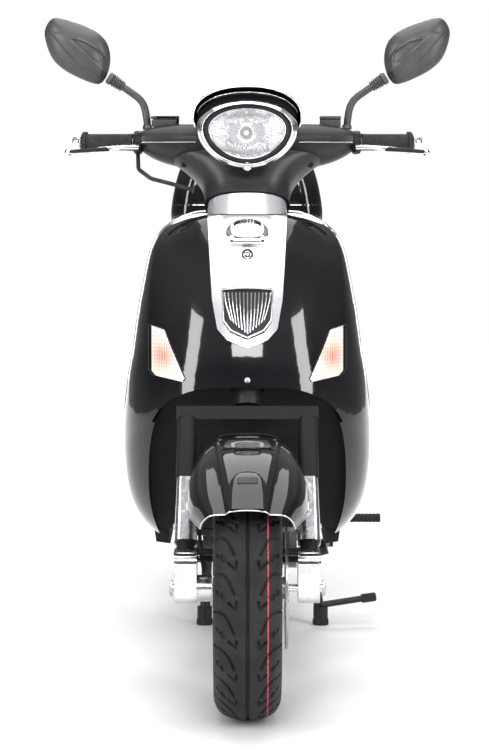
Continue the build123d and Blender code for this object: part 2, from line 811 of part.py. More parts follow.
# (offset from the rear axle, half width, low z, high z)
SEAT_SECTIONS = [
    (-634, 70, SEAT_BASE_Z, 786),
    (-600, 104, SEAT_BASE_Z, 800),
    (-470, 138, SEAT_BASE_Z, 806),
    (-300, 156, SEAT_BASE_Z, 806),
    (-225, 160, SEAT_BASE_Z, 814),
    (-160, 158, SEAT_BASE_Z, 834),
    (-20, 148, SEAT_BASE_Z, 838),
    (46, 118, SEAT_BASE_Z, 830),
]


def floorboard():
    """The flat foot platform with its rolled side skirts."""
    edge = FLOOR_HALF_WIDTH
    half = [
        (edge, FLOOR_Z),
        (edge + SKIRT_PROUD, FLOOR_Z - SKIRT_PROUD),
        (edge + SKIRT_PROUD - 8, FLOOR_Z - SKIRT_DEPTH + 4),
        (edge - 22, FLOOR_Z - SKIRT_DEPTH),
        (edge - 16, FLOOR_Z - FLOOR_THICK),
    ]
    face = make_face(Polyline(*half, *[(-x, z) for x, z in reversed(half)], close=True))
    return extrude(cross_plane(FLOOR_BACK_Y) * face, amount=FLOOR_BACK_Y - FLOOR_FRONT_Y)


def rear_cowl():
    """The tapered rear bodywork, open above for the storage and below for the wheel, in two halves."""
    outer = body_loft([(REAR_Y + y, w, low, high) for y, w, low, high in COWL_SECTIONS], 0, 3.4)
    span = COWL_END_Y - COWL_FRONT_Y
    inside = []
    for y, w, low, high in COWL_SECTIONS:
        share = (REAR_Y + y - COWL_FRONT_Y) / span
        inside.append((COWL_FRONT_Y + WALL + share * (span - 2 * WALL), w - WALL, low, high))
    inner = body_loft(inside, 0, 3.4)
    edge = Spline(*[(REAR_Y + y, z) for y, z in COWL_LOW_EDGE])
    back_top = Vector(COWL_END_Y, COWL_TOP_Z)
    front_top = Vector(COWL_FRONT_Y, COWL_TOP_Z)
    side = make_face([edge, Line(edge @ 1, back_top), Line(back_top, front_top), Line(front_top, edge @ 0)])
    shell = (outer - inner) & extrude(side_plane(-300) * side, amount=600)
    halves = (shell - Pos(0, 0, 500) * Box(GAP, 3000, 1000)).solids().sort_by(Axis.X)
    return halves[0], halves[-1]


def storage_bucket():
    """The moulded helmet compartment under the seat."""
    half = STORAGE_HALF_WIDTH
    wall = STORAGE_WALL
    tub = rounded_block((-half, STORAGE_FRONT_Y, STORAGE_LOW_Z), (half, STORAGE_BACK_Y, 746), Axis.Z, 40)
    hollow = rounded_block(
        (-half + wall, STORAGE_FRONT_Y + wall, STORAGE_LOW_Z + wall),
        (half - wall, STORAGE_BACK_Y - wall, 760),
        Axis.Z,
        40 - wall,
    )
    rim_out = 6
    flange = rounded_block(
        (-half - rim_out, STORAGE_FRONT_Y - rim_out, 742),
        (half + rim_out, STORAGE_BACK_Y + rim_out, 746),
        Axis.Z,
        40 + rim_out,
    )
    return tub + flange - hollow


def seat_cushion():
    """The long two-level saddle cushion."""
    return body_loft([(REAR_Y + y, w, low, high) for y, w, low, high in SEAT_SECTIONS], 0, 3.4)


def seat_pan(knuckle):
    """The stiff base under the cushion, with its hinge knuckle at the front."""
    half = [(REAR_Y + y, w - 8) for y, w, low, high in SEAT_SECTIONS]
    side = Spline(*[(w, y) for y, w in half])
    other = Spline(*[(-w, y) for y, w in half])
    face = make_face([side, Line(side @ 1, other @ 1), other, Line(other @ 0, side @ 0)])
    plate = extrude(Pos(0, 0, SEAT_PAN_LOW) * face, amount=SEAT_PAN_THICK)
    return plate + knuckle


# ---- luggage -----------------------------------------------------------------------------------
BOX_WALL = 5
BOX_CORNER = 48
RACK_HALF_WIDTH = 92
# (height above the box's base, inset of the sides, inset of the front, inset of the back)
BOX_BASE_LEVELS = [(0, 26, 26, 26), (34, 8, 7, 7), (BOX_SEAM_Z - BOX_BASE_Z - GAP, 4, 0, 0)]
# (height above the seam, inset of the sides, inset of the front, inset of the back)
BOX_LID_LEVELS = [
    (0, 4, 0, 0),
    (60, 16, 8, 12),
    (124, 44, 30, 40),
    (166, 84, 66, 80),
    (BOX_TOP_Z - BOX_SEAM_Z, 128, 112, 124),
]


def box_section(z, sides, front, back, wall=0):
    """One rounded level of the top box, inset from its largest outline."""
    length = BOX_LENGTH - front - back - 2 * wall
    corner = min(BOX_CORNER, length / 3) - wall
    centre = BOX_FRONT_Y + front + wall + length / 2
    return Pos(0, centre, z) * RectangleRounded(2 * (BOX_HALF_WIDTH - sides - wall), length, corner)


def box_shell(levels, base_z, floor_side):
    """A hollow half of the top box, closed on one side: 1 closes the bottom, -1 the top."""
    outer = loft([box_section(base_z + z, *insets) for z, *insets in levels])
    hollow = []
    last = len(levels) - 1
    for step, (z, *insets) in enumerate(levels):
        shift = 0
        if (floor_side == 1 and step == 0) or (floor_side == -1 and step == last):
            shift = BOX_WALL * floor_side
        elif step in (0, last):
            shift = 2 * floor_side
        hollow.append(box_section(base_z + z + shift, *insets, BOX_WALL))
    return outer - loft(hollow)


def rack():
    """The tubular carrier that holds the top box."""
    half = RACK_HALF_WIDTH
    start = BOX_FRONT_Y + 4
    end = REAR_Y + 360
    corners = [(-half, start, RACK_Z), (-half, end, RACK_Z), (half, end, RACK_Z), (half, start, RACK_Z)]
    tubes = bent_tube(corners, RACK_TUBE, 50)
    first_bar = start + 2 * RACK_TUBE
    for y in (first_bar, start + 170):
        tubes += across(-half, half, RACK_TUBE - 1, y, RACK_Z)
    for side in (-1, 1):
        tubes += rod((side * 64, first_bar, RACK_Z), (side * 64, first_bar, 716), RACK_TUBE - 2)
    return tubes


# ---- power unit and rear wheel -----------------------------------------------------------------
CVT_INNER_X = 76
CVT_OUTER_X = 138
CASE_HALF_WIDTH = 74
SWING_X = -CASE_HALF_WIDTH - GAP
REAR_HUB_HALF = 62
SHOCK_X = 112
SHOCK_FOOT = (REAR_Y + 22, 336)
SHOCK_HEAD = (REAR_Y - 6, 604)
MUDGUARD_RADIUS = 258
PLATE_Y = COWL_END_Y + 26
RAIL_X = 128
FLOOR_RAIL_X = 78


def engine():
    """Crankcase, cylinder and fan cover as one heavy block, with the lugs of the centre stand."""
    low = (-CASE_HALF_WIDTH, REAR_Y - 410, 235)
    high = (CASE_HALF_WIDTH, REAR_Y - 252, 385)
    case = rounded_block(low, high, Axis.X, 30)
    cylinder = block((-55, REAR_Y - 520, 284), (55, REAR_Y - 405, 374))
    fan = across(-124, -CASE_HALF_WIDTH + 5, 68, REAR_Y - 338, 308)
    unit = case + cylinder + fan
    for x in (-62, 50):
        unit += block((x, STAND_PIVOT_Y - 18, STAND_PIVOT_Z - 18), (x + 12, STAND_PIVOT_Y + 18, 250))
    return unit - across(-100, 100, STAND_TUBE + RUNNING_CLEARANCE, STAND_PIVOT_Y, STAND_PIVOT_Z)


def belt_case():
    """The belt-drive case that runs back to the rear axle on the left."""
    return stadium((REAR_Y - 330, 307), (REAR_Y, REAR_AXLE_Z), 84, 62, CVT_INNER_X, CVT_OUTER_X)


def air_filter():
    """The air filter box above the belt-drive case."""
    return rounded_block((84, REAR_Y - 232, 376), (158, REAR_Y - 44, 470), Axis.X, 24)


def exhaust():
    """The header pipe and the silencer, low on the right."""
    silencer = rod((-160, REAR_Y - 160, 236), (-160, REAR_Y + 190, 284), 42)
    pipe = bent_tube(
        [
            (-34, REAR_Y - 500, 283),
            (-34, REAR_Y - 500, 188),
            (-134, REAR_Y - 400, 182),
            (-146, REAR_Y - 230, 190),
            (-160, REAR_Y - 150, 237),
        ],
        14,
        [24, 50, 60],
    )
    return silencer + pipe


def swing_arm():
    """The right-hand arm from the crankcase to the rear axle, with the axle itself."""
    arm = stadium((REAR_Y - 240, 292), (REAR_Y, REAR_AXLE_Z), 24, 22, SWING_X - 10, SWING_X)
    axle = across(SWING_X - 22, CVT_INNER_X - GAP, AXLE_RADIUS, REAR_Y, REAR_AXLE_Z)
    return arm + axle


def shock():
    """One rear damper with its two eyes; the coil spring sits round it."""
    foot = (SHOCK_X, *SHOCK_FOOT)
    head = (SHOCK_X, *SHOCK_HEAD)
    body = rod(foot, head, 9)
    for y, z in (SHOCK_FOOT, SHOCK_HEAD):
        body += across(SHOCK_X - 13, SHOCK_X + 13, 15, y, z)
    return body


def rear_mudguard():
    """The curved guard over the rear wheel."""
    section = Pos(0, REAR_Y, REAR_AXLE_Z) * Rot(34, 0, 0) * Pos(0, MUDGUARD_RADIUS, 0)
    strip = section * Plane.XY * Rectangle(144, 4)
    centre = Axis((0, REAR_Y, REAR_AXLE_Z), (1, 0, 0))
    return revolve(strip, axis=centre, revolution_arc=86)


def plate_holder():
    """The sloped carrier of the number plate, under the tail light."""
    profile = make_face(
        Polyline(
            (COWL_END_Y + GAP, 662),
            (COWL_END_Y + 6, 662),
            (COWL_END_Y + 12, 634),
            (PLATE_Y + 66, 396),
            (PLATE_Y + 61, 394),
            (COWL_END_Y + 5, 628),
            (COWL_END_Y + GAP, 644),
            close=True,
        )
    )
    return extrude(side_plane(-72) * profile, amount=144)


def number_plate():
    """The blank plate, parallel to its carrier."""
    start = Vector(PLATE_Y - 4, 594)
    end = Vector(PLATE_Y + 60, 424)
    normal = Vector(end.Y - start.Y, -(end.X - start.X)).normalized() * -1
    lift = normal * 5
    corners = (start + lift, end + lift, end + lift * 1.5, start + lift * 1.5)
    face = make_face(Polyline(*[(p.X, p.Y) for p in corners], close=True))
    return extrude(side_plane(-88) * face, amount=176)


def tail_light():
    """The wide red lamp at the end of the rear cowl."""
    return loft(
        [
            cross_plane(COWL_END_Y + GAP) * Pos(0, 698) * superellipse(92, 34, 3),
            cross_plane(COWL_END_Y + 16) * Pos(0, 698) * superellipse(86, 30, 3),
            cross_plane(COWL_END_Y + 24) * Pos(0, 698) * superellipse(60, 18, 3),
        ]
    )


def rear_indicator():
    """One rear direction indicator on its short stalk."""
    stalk = across(73, 118, 6, COWL_END_Y + 13, 648)
    lamp = Pos(141, COWL_END_Y + 13, 648) * Rot(0, 90, 0) * Cone(16, 21, 50)
    return stalk + lamp


def main_frame():
    """Head tube, down tube, floor loop and seat rails in welded steel."""
    head = column_cylinder(HEAD_TUBE_RADIUS, HEAD_TUBE_LOW, HEAD_TUBE_HIGH)
    start = HEAD_TUBE_LOW + 150
    start_y = FRONT_Y - TRAIL + start * SIN_RAKE
    start_z = start * COS_RAKE
    frame = head + bent_tube(
        [(0, start_y, start_z), (0, FRONT_Y + 338, 470), (0, FRONT_Y + 345, 272), (0, FRONT_Y + 520, 272)],
        15,
        [60, 60],
    )
    frame += across(-100, 100, 13, FRONT_Y + 505, 272)
    for side in (-1, 1):
        frame += bent_tube(
            [
                (side * FLOOR_RAIL_X, FRONT_Y + 495, 272),
                (side * FLOOR_RAIL_X, REAR_Y - 620, 272),
                (side * RAIL_X, REAR_Y - 545, 470),
                (side * RAIL_X, REAR_Y - 400, 600),
                (side * RAIL_X, REAR_Y - 20, 694),
                (side * 64, REAR_Y + 120, 706),
            ],
            12,
            [50, 60, 60, 60],
        )
    frame += across(-70, 70, 10, REAR_Y + 112, 706)
    frame += rod((FLOOR_RAIL_X, SIDE_PIVOT[1], 272), (SIDE_PIVOT[0] - 20, SIDE_PIVOT[1], SIDE_PIVOT[2]), 9)
    return frame - column_cylinder(STEERER_RADIUS + GAP, HEAD_TUBE_LOW - 10, HEAD_TUBE_HIGH + 10)


# ---- stands and kick starter -------------------------------------------------------------------
def centre_stand():
    """The welded centre stand with its two feet and the foot tang."""
    stand = across(-96, 140, STAND_TUBE, STAND_PIVOT_Y, STAND_PIVOT_Z)
    for top_x, foot_x in ((-84, STAND_FOOT_RIGHT_X), (128, STAND_FOOT_LEFT_X)):
        stand += rod((top_x, STAND_PIVOT_Y, STAND_PIVOT_Z), (foot_x, STAND_FOOT_Y, 20), STAND_TUBE)
        stand += rod((foot_x, STAND_FOOT_Y, 0), (foot_x, STAND_FOOT_Y, 40), 16)
    stand += rod((STAND_FOOT_LEFT_X, STAND_FOOT_Y - 6, 44), (268, STAND_FOOT_Y + 20, 56), 7)
    stand += rod((250, STAND_FOOT_Y + 16, 54), (280, STAND_FOOT_Y + 23, 57), 9)
    return stand


def side_stand():
    """The folding prop stand on its leaning hinge, stored along the left of the floor."""
    x, y, z = SIDE_PIVOT
    end = (x + 14, y + SIDE_STAND_LENGTH, z - 24)
    leg = rod(SIDE_PIVOT, end, 9)
    half_pin = Vector(*SIDE_HINGE) * 9
    boss = rod(tuple(Vector(*SIDE_PIVOT) - half_pin), tuple(Vector(*SIDE_PIVOT) + half_pin), 15)
    foot = Pos(*end) * Box(30, 34, 12)
    return leg + boss + foot


def kick_starter():
    """The starter crank on the belt-drive case, with its pedal turned out."""
    pivot = (REAR_Y - 130, 262)
    elbow = (CVT_OUTER_X + 16, REAR_Y - 290, 226)
    shaft = across(CVT_OUTER_X + GAP, CVT_OUTER_X + 24, 13, *pivot)
    crank = rod((CVT_OUTER_X + 16, *pivot), elbow, 8)
    pedal = rod((elbow[0] - 2, elbow[1], elbow[2]), (292, elbow[1], elbow[2]), 7)
    return shaft + crank + pedal


# ---- the whole machine -------------------------------------------------------------------------
def steering_pieces():
    """Everything above the wheel that turns with the handlebar."""
    body = cowl_body()
    shell = headlight_shell()
    bar = handlebar()
    column = column_cylinder(STEERER_RADIUS + GAP / 2, CROWN_LEVEL, BAR_LEVEL)
    above = block((-400, BAR_Y - 300, SEAM_Z), (400, BAR_Y + 300, SEAM_Z + 200))
    body = body - shell - column - across(-300, 300, BAR_RADIUS + 2.5, BAR_Y, BAR_Z)
    arm, housing, glass = rear_mirror()
    boxes = reservoir(162, 20, 17) + mirror(reservoir(158, 25, 19), Plane.YZ)
    switches = switch_block()
    lower = largest(body - above)
    throttle, speedometer, hose = control_cables()
    return {
        "headlight_shell": shell - column - across(-300, 300, BAR_RADIUS + 2.5, BAR_Y, BAR_Z),
        "headlight_lens": headlight_lens(),
        "instrument_dial": instrument_dial(),
        "cowl_lower": lower,
        "cowl_upper": (body & above) - boxes - pair(arm),
        "handlebar": bar,
        "grips": pair(grip()),
        "brake_controls": pair(switches + lever()) + boxes,
        "mirrors": pair(arm + housing),
        "mirror_glasses": pair(glass),
        "control_cables": Compound(children=[*(throttle - lower).solids(), speedometer, hose]),
    }


def front_wheel_pieces():
    """The fork with its covers and mudguard, and the wheel that it carries."""
    caps = axle_caps()
    legs = fork() - caps
    return {
        "fork": legs,
        "fork_lowers": caps + fork_cover(COVER_LOW, COVER_BREAK - GAP, (21, 27), (17, 22)),
        "fork_covers": fork_cover(COVER_BREAK, COVER_TOP, (19, 24), (17, 22)),
        "front_fender": fender(),
        "brake_caliper": caliper(),
        "front_tyre": tyre(FRONT_Y, FRONT_AXLE_Z),
        "front_rim": rim(FRONT_Y, FRONT_AXLE_Z, FRONT_HUB_HALF),
        "brake_disc": brake_disc(),
    }


def body_pieces():
    """The leg shield group, the floor, the rear body, the seat and the luggage box."""
    core = shield_core(-WALL - GAP, 120)
    ears, knuckle = hinge(SEAT_HINGE_Y, SEAT_HINGE_Z, 34, 6, 3.5, COWL_FRONT_Y, 14, 6)
    right, left = rear_cowl()
    box_ears, box_knuckle = hinge(BOX_HINGE_Y, BOX_SEAM_Z, 60, 5, 2.5, BOX_FRONT_Y, 16, 12)
    box_base = box_shell(BOX_BASE_LEVELS, BOX_BASE_Z, 1)
    for ear in box_ears:
        box_base += ear
    pieces = {
        "leg_shield": leg_shield(),
        "knee_panel": knee_panel(core),
        "wheel_well": wheel_well(core),
        "floorboard": floorboard(),
        "rear_cowl": Compound(children=[right + ears[0], left + ears[1]]),
        "storage_bucket": storage_bucket(),
        "seat_cushion": seat_cushion(),
        "seat_pan": seat_pan(knuckle),
        "top_box_base": box_base,
        "top_box_lid": box_shell(BOX_LID_LEVELS, BOX_SEAM_Z, -1) + box_knuckle,
        "carrier_rack": rack(),
    }
    pieces.update(front_pieces())
    return pieces


def running_gear_pieces():
    """The frame, the power unit, the rear wheel, the lamps at the back and the stands."""
    return {
        "main_frame": main_frame(),
        "engine": engine(),
        "belt_case": belt_case(),
        "air_filter": air_filter(),
        "exhaust": exhaust(),
        "swing_arm": swing_arm(),
        "rear_shocks": pair(shock()),
        "rear_tyre": tyre(REAR_Y, REAR_AXLE_Z),
        "rear_rim": rim(REAR_Y, REAR_AXLE_Z, REAR_HUB_HALF),
        "rear_mudguard": Compound(children=[rear_mudguard(), plate_holder()]),
        "number_plate": number_plate(),
        "rear_lamps": Compound(children=[tail_light(), *pair(rear_indicator()).solids()]),
        "centre_stand": centre_stand(),
        "side_stand": side_stand(),
        "kick_starter": kick_starter(),
    }


os.makedirs("parts", exist_ok=True)
for group in (steering_pieces, front_wheel_pieces, body_pieces, running_gear_pieces):
    for piece_name, piece in group().items():
        save(piece_name, piece)
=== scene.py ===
import math

import bmesh
import bpy
import numpy as np
from mathutils import Matrix, Vector
from mathutils.bvhtree import BVHTree


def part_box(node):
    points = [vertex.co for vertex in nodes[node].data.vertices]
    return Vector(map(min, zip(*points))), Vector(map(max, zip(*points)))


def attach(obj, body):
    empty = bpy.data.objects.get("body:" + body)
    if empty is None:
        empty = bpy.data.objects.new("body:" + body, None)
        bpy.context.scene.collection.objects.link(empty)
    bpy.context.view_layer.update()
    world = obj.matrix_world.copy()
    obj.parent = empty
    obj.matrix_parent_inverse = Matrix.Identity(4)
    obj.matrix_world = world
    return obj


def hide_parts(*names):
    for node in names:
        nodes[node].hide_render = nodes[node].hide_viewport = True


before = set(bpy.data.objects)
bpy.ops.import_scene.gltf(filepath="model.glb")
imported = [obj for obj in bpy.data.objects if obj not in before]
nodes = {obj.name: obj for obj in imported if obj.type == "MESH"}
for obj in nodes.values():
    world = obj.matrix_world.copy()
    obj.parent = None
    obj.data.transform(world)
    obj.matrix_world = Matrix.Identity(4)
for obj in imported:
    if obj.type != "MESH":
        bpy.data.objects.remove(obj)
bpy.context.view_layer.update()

# ---- the room ------------------------------------------------------------------------------------
# A pale seamless floor, a white sky, and soft boxes on both sides whose long reflections draw the
# shape of the black panels. The camera stands straight ahead, a little over the headlight.
CAMERA_BACK = 4.6
CAMERA_HEIGHT = 1.0
CAMERA_PITCH = math.radians(4.7)
FOCAL_LENGTH = 123.8
scene = bpy.context.scene


def middle(node):
    """The centre of a CAD node's box."""
    low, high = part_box(node)
    return (low + high) / 2


front_axle = middle("front_rim")
rear_axle = middle("rear_rim")

camera = bpy.data.objects.new("camera", bpy.data.cameras.new("camera"))
camera.data.lens = FOCAL_LENGTH
camera.data.sensor_width = 36
camera.data.clip_end = 60
camera.location = (-0.0053, front_axle.y - CAMERA_BACK, CAMERA_HEIGHT)
camera.rotation_euler = (math.pi / 2 - CAMERA_PITCH, 0, 0)
scene.collection.objects.link(camera)
scene.camera = camera

# The backdrop is white, and what the panels mirror is a dimmer room with a dark band round it.
sky = bpy.data.worlds.new("sky")
sky.use_nodes = True
sky_nodes = sky.node_tree.nodes
sky_links = sky.node_tree.links
sky_nodes.clear()
sky_place = sky_nodes.new("ShaderNodeTexCoord")
sky_height = sky_nodes.new("ShaderNodeSeparateXYZ")
sky_ramp = sky_nodes.new("ShaderNodeValToRGB")
for stop, (place, level) in enumerate(((0.40, 0.55), (0.50, 0.16), (0.62, 0.10), (0.80, 0.42))):
    element = sky_ramp.color_ramp.elements[stop] if stop < 2 else sky_ramp.color_ramp.elements.new(place)
    element.position = place
    element.color = (level, level, level * 1.02, 1)
sky_scale = sky_nodes.new("ShaderNodeMapRange")
sky_scale.inputs["From Min"].default_value = -1.0
room_light = sky_nodes.new("ShaderNodeBackground")
backdrop = sky_nodes.new("ShaderNodeBackground")
backdrop.inputs["Color"].default_value = (1.0, 1.0, 1.0, 1)
seen = sky_nodes.new("ShaderNodeLightPath")
either = sky_nodes.new("ShaderNodeMixShader")
sky_out = sky_nodes.new("ShaderNodeOutputWorld")
sky_links.new(sky_place.outputs["Generated"], sky_height.inputs[0])
sky_links.new(sky_height.outputs["Z"], sky_scale.inputs["Value"])
sky_links.new(sky_scale.outputs["Result"], sky_ramp.inputs["Fac"])
sky_links.new(sky_ramp.outputs["Color"], room_light.inputs["Color"])
sky_links.new(seen.outputs["Is Camera Ray"], either.inputs[0])
sky_links.new(room_light.outputs[0], either.inputs[1])
sky_links.new(backdrop.outputs[0], either.inputs[2])
sky_links.new(either.outputs[0], sky_out.inputs["Surface"])
scene.world = sky
scene.view_settings.view_transform = "Standard"


def soft_box(name, place, aim, width, height, power):
    """A rectangular light at place that faces the point aim."""
    light = bpy.data.lights.new(name, "AREA")
    light.shape = "RECTANGLE"
    light.size = width
    light.size_y = height
    light.energy = power
    lamp = bpy.data.objects.new(name, light)
    lamp.location = place
    lamp.rotation_euler = (Vector(aim) - Vector(place)).to_track_quat("-Z", "Y").to_euler()
    scene.collection.objects.link(lamp)


soft_box("overhead", (0, -0.4, 3.2), (0, -0.2, 0.5), 2.4, 3.4, 90)
soft_box("left_box", (2.6, -2.6, 1.7), (0, -0.3, 0.7), 0.7, 2.6, 75)
soft_box("right_box", (-2.6, -2.6, 1.7), (0, -0.3, 0.7), 0.7, 2.6, 75)
soft_box("front_box", (0.0, -5.4, 3.4), (0, -0.5, 0.6), 2.4, 0.8, 110)
soft_box("back_box", (0.0, 3.4, 2.6), (0, 0.2, 0.6), 2.4, 1.2, 70)


# ---- the mesh and finish tools, first used by the floor ------------------------------------------
# A Shape gathers points and faces before they become one piece. A Wire is one output in a
# material's nodes, and sums on wires add Math nodes.
class Shape:
    def __init__(self):
        self.points = []
        self.faces = []

    def add(self, points, faces):
        base = len(self.points)
        self.points += [tuple(p) for p in points]
        self.faces += [tuple(base + i for i in face) for face in faces]
        return self

    def join(self, other, matrix=None):
        points = other.points if matrix is None else [matrix @ Vector(p) for p in other.points]
        return self.add(points, other.faces)

    def mirrored(self):
        """The same shape on the other side of the machine."""
        other = Shape()
        other.points = [(-x, y, z) for x, y, z in self.points]
        other.faces = [tuple(reversed(face)) for face in self.faces]
        return other

    def both(self):
        """This shape with its mirror image."""
        return Shape().join(self).join(self.mirrored())


def rings(loops, closed=True, cap=True):
    """A skin over loops of points, each loop closed round, with flat ends when cap is set."""
    shape = Shape()
    count = len(loops[0])
    faces = []
    for r in range(len(loops) - 1):
        for i in range(count if closed else count - 1):
            j = (i + 1) % count
            faces.append((r * count + i, r * count + j, (r + 1) * count + j, (r + 1) * count + i))
    if cap:
        faces.append(tuple(reversed(range(count))))
        last = (len(loops) - 1) * count
        faces.append(tuple(last + i for i in range(count)))
    return shape.add([p for loop in loops for p in loop], faces)


def lathe(profile, centre=(0, 0, 0), axis=(1, 0, 0), count=48, cap=True):
    """A turned form: profile is (distance along the axis, radius) pairs."""
    turn = Vector((0, 0, 1)).rotation_difference(Vector(axis).normalized()).to_matrix()
    loops = []
    for along, radius in profile:
        loop = []
        for step in range(count):
            angle = 2 * math.pi * step / count
            point = turn @ Vector((radius * math.cos(angle), radius * math.sin(angle), along))
            loop.append(point + Vector(centre))
        loops.append(loop)
    return rings(loops, cap=cap)


def smooth_path(points, steps=8):
    """A Catmull-Rom curve through points."""
    points = [Vector(p) for p in points]
    ends = [2 * points[0] - points[1]] + points + [2 * points[-1] - points[-2]]
    path = []
    for k in range(1, len(ends) - 2):
        a, b, c, d = ends[k - 1 : k + 3]
        for step in range(steps):
            t = step / steps
            path.append(
                0.5 * (
                    2 * b + (c - a) * t + (
                        2 * a - 5 * b + 4 * c - d
                    ) * t**2 + (3 * b - a - 3 * c + d) * t**3
                )
            )
    path.append(points[-1])
    return path


def tube(path, radius, count=16, closed=False, flat=1.0):
    """A round or flattened bar along a path; radius may be one value or one for each point."""
    path = [Vector(p) for p in path]
    size = len(path)
    side = None
    loops = []
    for k, point in enumerate(path):
        if closed:
            ahead = (path[(k + 1) % size] - path[k - 1]).normalized()
        else:
            ahead = (path[min(k + 1, size - 1)] - path[max(k - 1, 0)]).normalized()
        if side is None:
            side = ahead.orthogonal().normalized()
        side = (side - ahead * side.dot(ahead)).normalized()
        other = ahead.cross(side)
        r = radius[k] if isinstance(radius, (list, tuple)) else radius
        loop = []
        for step in range(count):
            angle = 2 * math.pi * step / count
            loop.append(point + side * r * math.cos(angle) + other * r * flat * math.sin(angle))
        loops.append(loop)
    if closed:
        loops.append(loops[0])
    return rings(loops, cap=not closed)


def slab(low, high, bevel=0.0015):
    """A block with softened edges."""
    low, high = Vector(low), Vector(high)
    work = bmesh.new()
    bmesh.ops.create_cube(work, size=1)
    for vert in work.verts:
        vert.co = Vector([(low[i] + high[i]) / 2 + vert.co[i] * (high[i] - low[i]) for i in range(3)])
    bmesh.ops.bevel(work, geom=work.edges[:], offset=bevel, segments=3, affect="EDGES", profile=0.6)
    work.verts.index_update()
    shape = Shape().add([v.co for v in work.verts], [[v.index for v in f.verts] for f in work.faces])
    work.free()
    return shape


def piece(name, shape, body, finish, edge_angle=35):
    """Makes one mesh from a shape, with smooth shading up to the given edge angle."""
    mesh = bpy.data.meshes.new(name)
    mesh.from_pydata(shape.points, [], shape.faces)
    mesh.validate()
    work = bmesh.new()
    work.from_mesh(mesh)
    bmesh.ops.remove_doubles(work, verts=work.verts, dist=1e-6)
    bmesh.ops.recalc_face_normals(work, faces=work.faces)
    work.to_mesh(mesh)
    work.free()
    made = bpy.data.objects.new(name, mesh)
    scene.collection.objects.link(made)
    mesh.shade_smooth()
    mesh.set_sharp_from_angle(angle=math.radians(edge_angle))
    mesh.materials.append(finish)
    if body:
        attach(made, body)
    return made


class Wire:
    def __init__(self, tree, socket=None):
        self.tree = tree
        self.socket = socket

    def node(self, kind, settings=(), inputs=(), output=0):
        made = self.tree.nodes.new(kind)
        for name, value in dict(settings).items():
            if name == "stops":
                ramp = made.color_ramp
                while len(ramp.elements) < len(value):
                    ramp.elements.new(0.5)
                for element, (place, tint) in zip(ramp.elements, value):
                    element.position = place
                    element.color = tint if len(tint) == 4 else (*tint, 1)
            else:
                setattr(made, name, value)
        for key, value in dict(inputs).items():
            if isinstance(value, Wire):
                self.tree.links.new(value.socket, made.inputs[key])
            else:
                made.inputs[key].default_value = value
        return Wire(self.tree, made.outputs[output])

    def math(self, operation, *values):
        return self.node("ShaderNodeMath", {"operation": operation}, dict(enumerate(values)))

    def __add__(self, other):
        return self.math("ADD", self, other)

    def __sub__(self, other):
        return self.math("SUBTRACT", self, other)

    def __rsub__(self, other):
        return self.math("SUBTRACT", other, self)

    def __mul__(self, other):
        return self.math("MULTIPLY", self, other)

    def __pow__(self, other):
        return self.math("POWER", self, other)

    __radd__ = __add__
    __rmul__ = __mul__

    def noise(self, scale, detail=4.0, place=None, roughness=0.5):
        """Soft noise from 0 to 1 over the surface."""
        where = place or self.place()
        return self.node(
            "ShaderNodeTexNoise", {}, {
                "Vector": where, "Scale": scale, "Detail": detail, "Roughness": roughness
            }
        )

    def place(self):
        return self.node("ShaderNodeTexCoord", output="Object")

    def within(self, low, high):
        """This value stretched so that low becomes 0 and high becomes 1, held between them."""
        return self.node(
            "ShaderNodeMapRange", {}, {
                "Value": self, "From Min": low, "From Max": high, "To Min": 0.0, "To Max": 1.0
            }
        )

    def tint(self, first, second):
        """A colour between two, by this value."""
        return self.node(
            "ShaderNodeMix", {"data_type": "RGBA"}, {
                "Factor": self, 6: (*first, 1), 7: (*second, 1)
            }, output=2
        )


def finish(name, color, roughness, bump=None, depth=0.0, extra=(), **shader):
    """A finished material. Colour, roughness and bump may be functions of the material's first wire."""
    material = bpy.data.materials.new(name)
    material.use_nodes = True
    tree = material.node_tree
    tree.nodes.clear()
    start = Wire(tree)
    values = {"Roughness": roughness(start) if callable(roughness) else roughness}
    values["Base Color"] = color(start) if callable(color) else (*color, 1)
    for key, value in shader.items():
        values[key.replace("_", " ").title().replace("Ior", "IOR")] = value
    for key, value in dict(extra).items():
        values[key] = value(start) if callable(value) else value
    if bump:
        values["Normal"] = start.node(
            "ShaderNodeBump", {}, {"Height": bump(start), "Distance": depth, "Strength": 1.0}
        )
    surface = start.node("ShaderNodeBsdfPrincipled", {}, values)
    output = tree.nodes.new("ShaderNodeOutputMaterial")
    tree.links.new(surface.socket, output.inputs["Surface"])
    return material


def dress(material, *names):
    """Gives CAD nodes their finish."""
    for name in names:
        mesh = nodes[name].data
        mesh.materials.clear()
        mesh.materials.append(material)


def far_glow(w):
    """The floor's own light, none near the machine and full where it meets the backdrop."""
    distance = w.node("ShaderNodeVectorMath", {"operation": "LENGTH"}, {0: w.place()}, output=1)
    return distance.within(1.6, 4.6).tint((0.0, 0.0, 0.0), (1.0, 1.0, 1.0))


floor_paint = finish(
    "studio_floor", (0.86, 0.86, 0.86), 0.55, extra={"Emission Color": far_glow, "Emission Strength": 0.8}
)
floor_mesh = Shape().add([(-9, -9, 0), (9, -9, 0), (9, 9, 0), (-9, 9, 0)], [(0, 1, 2, 3)])
piece("floor", floor_mesh, None, floor_paint)

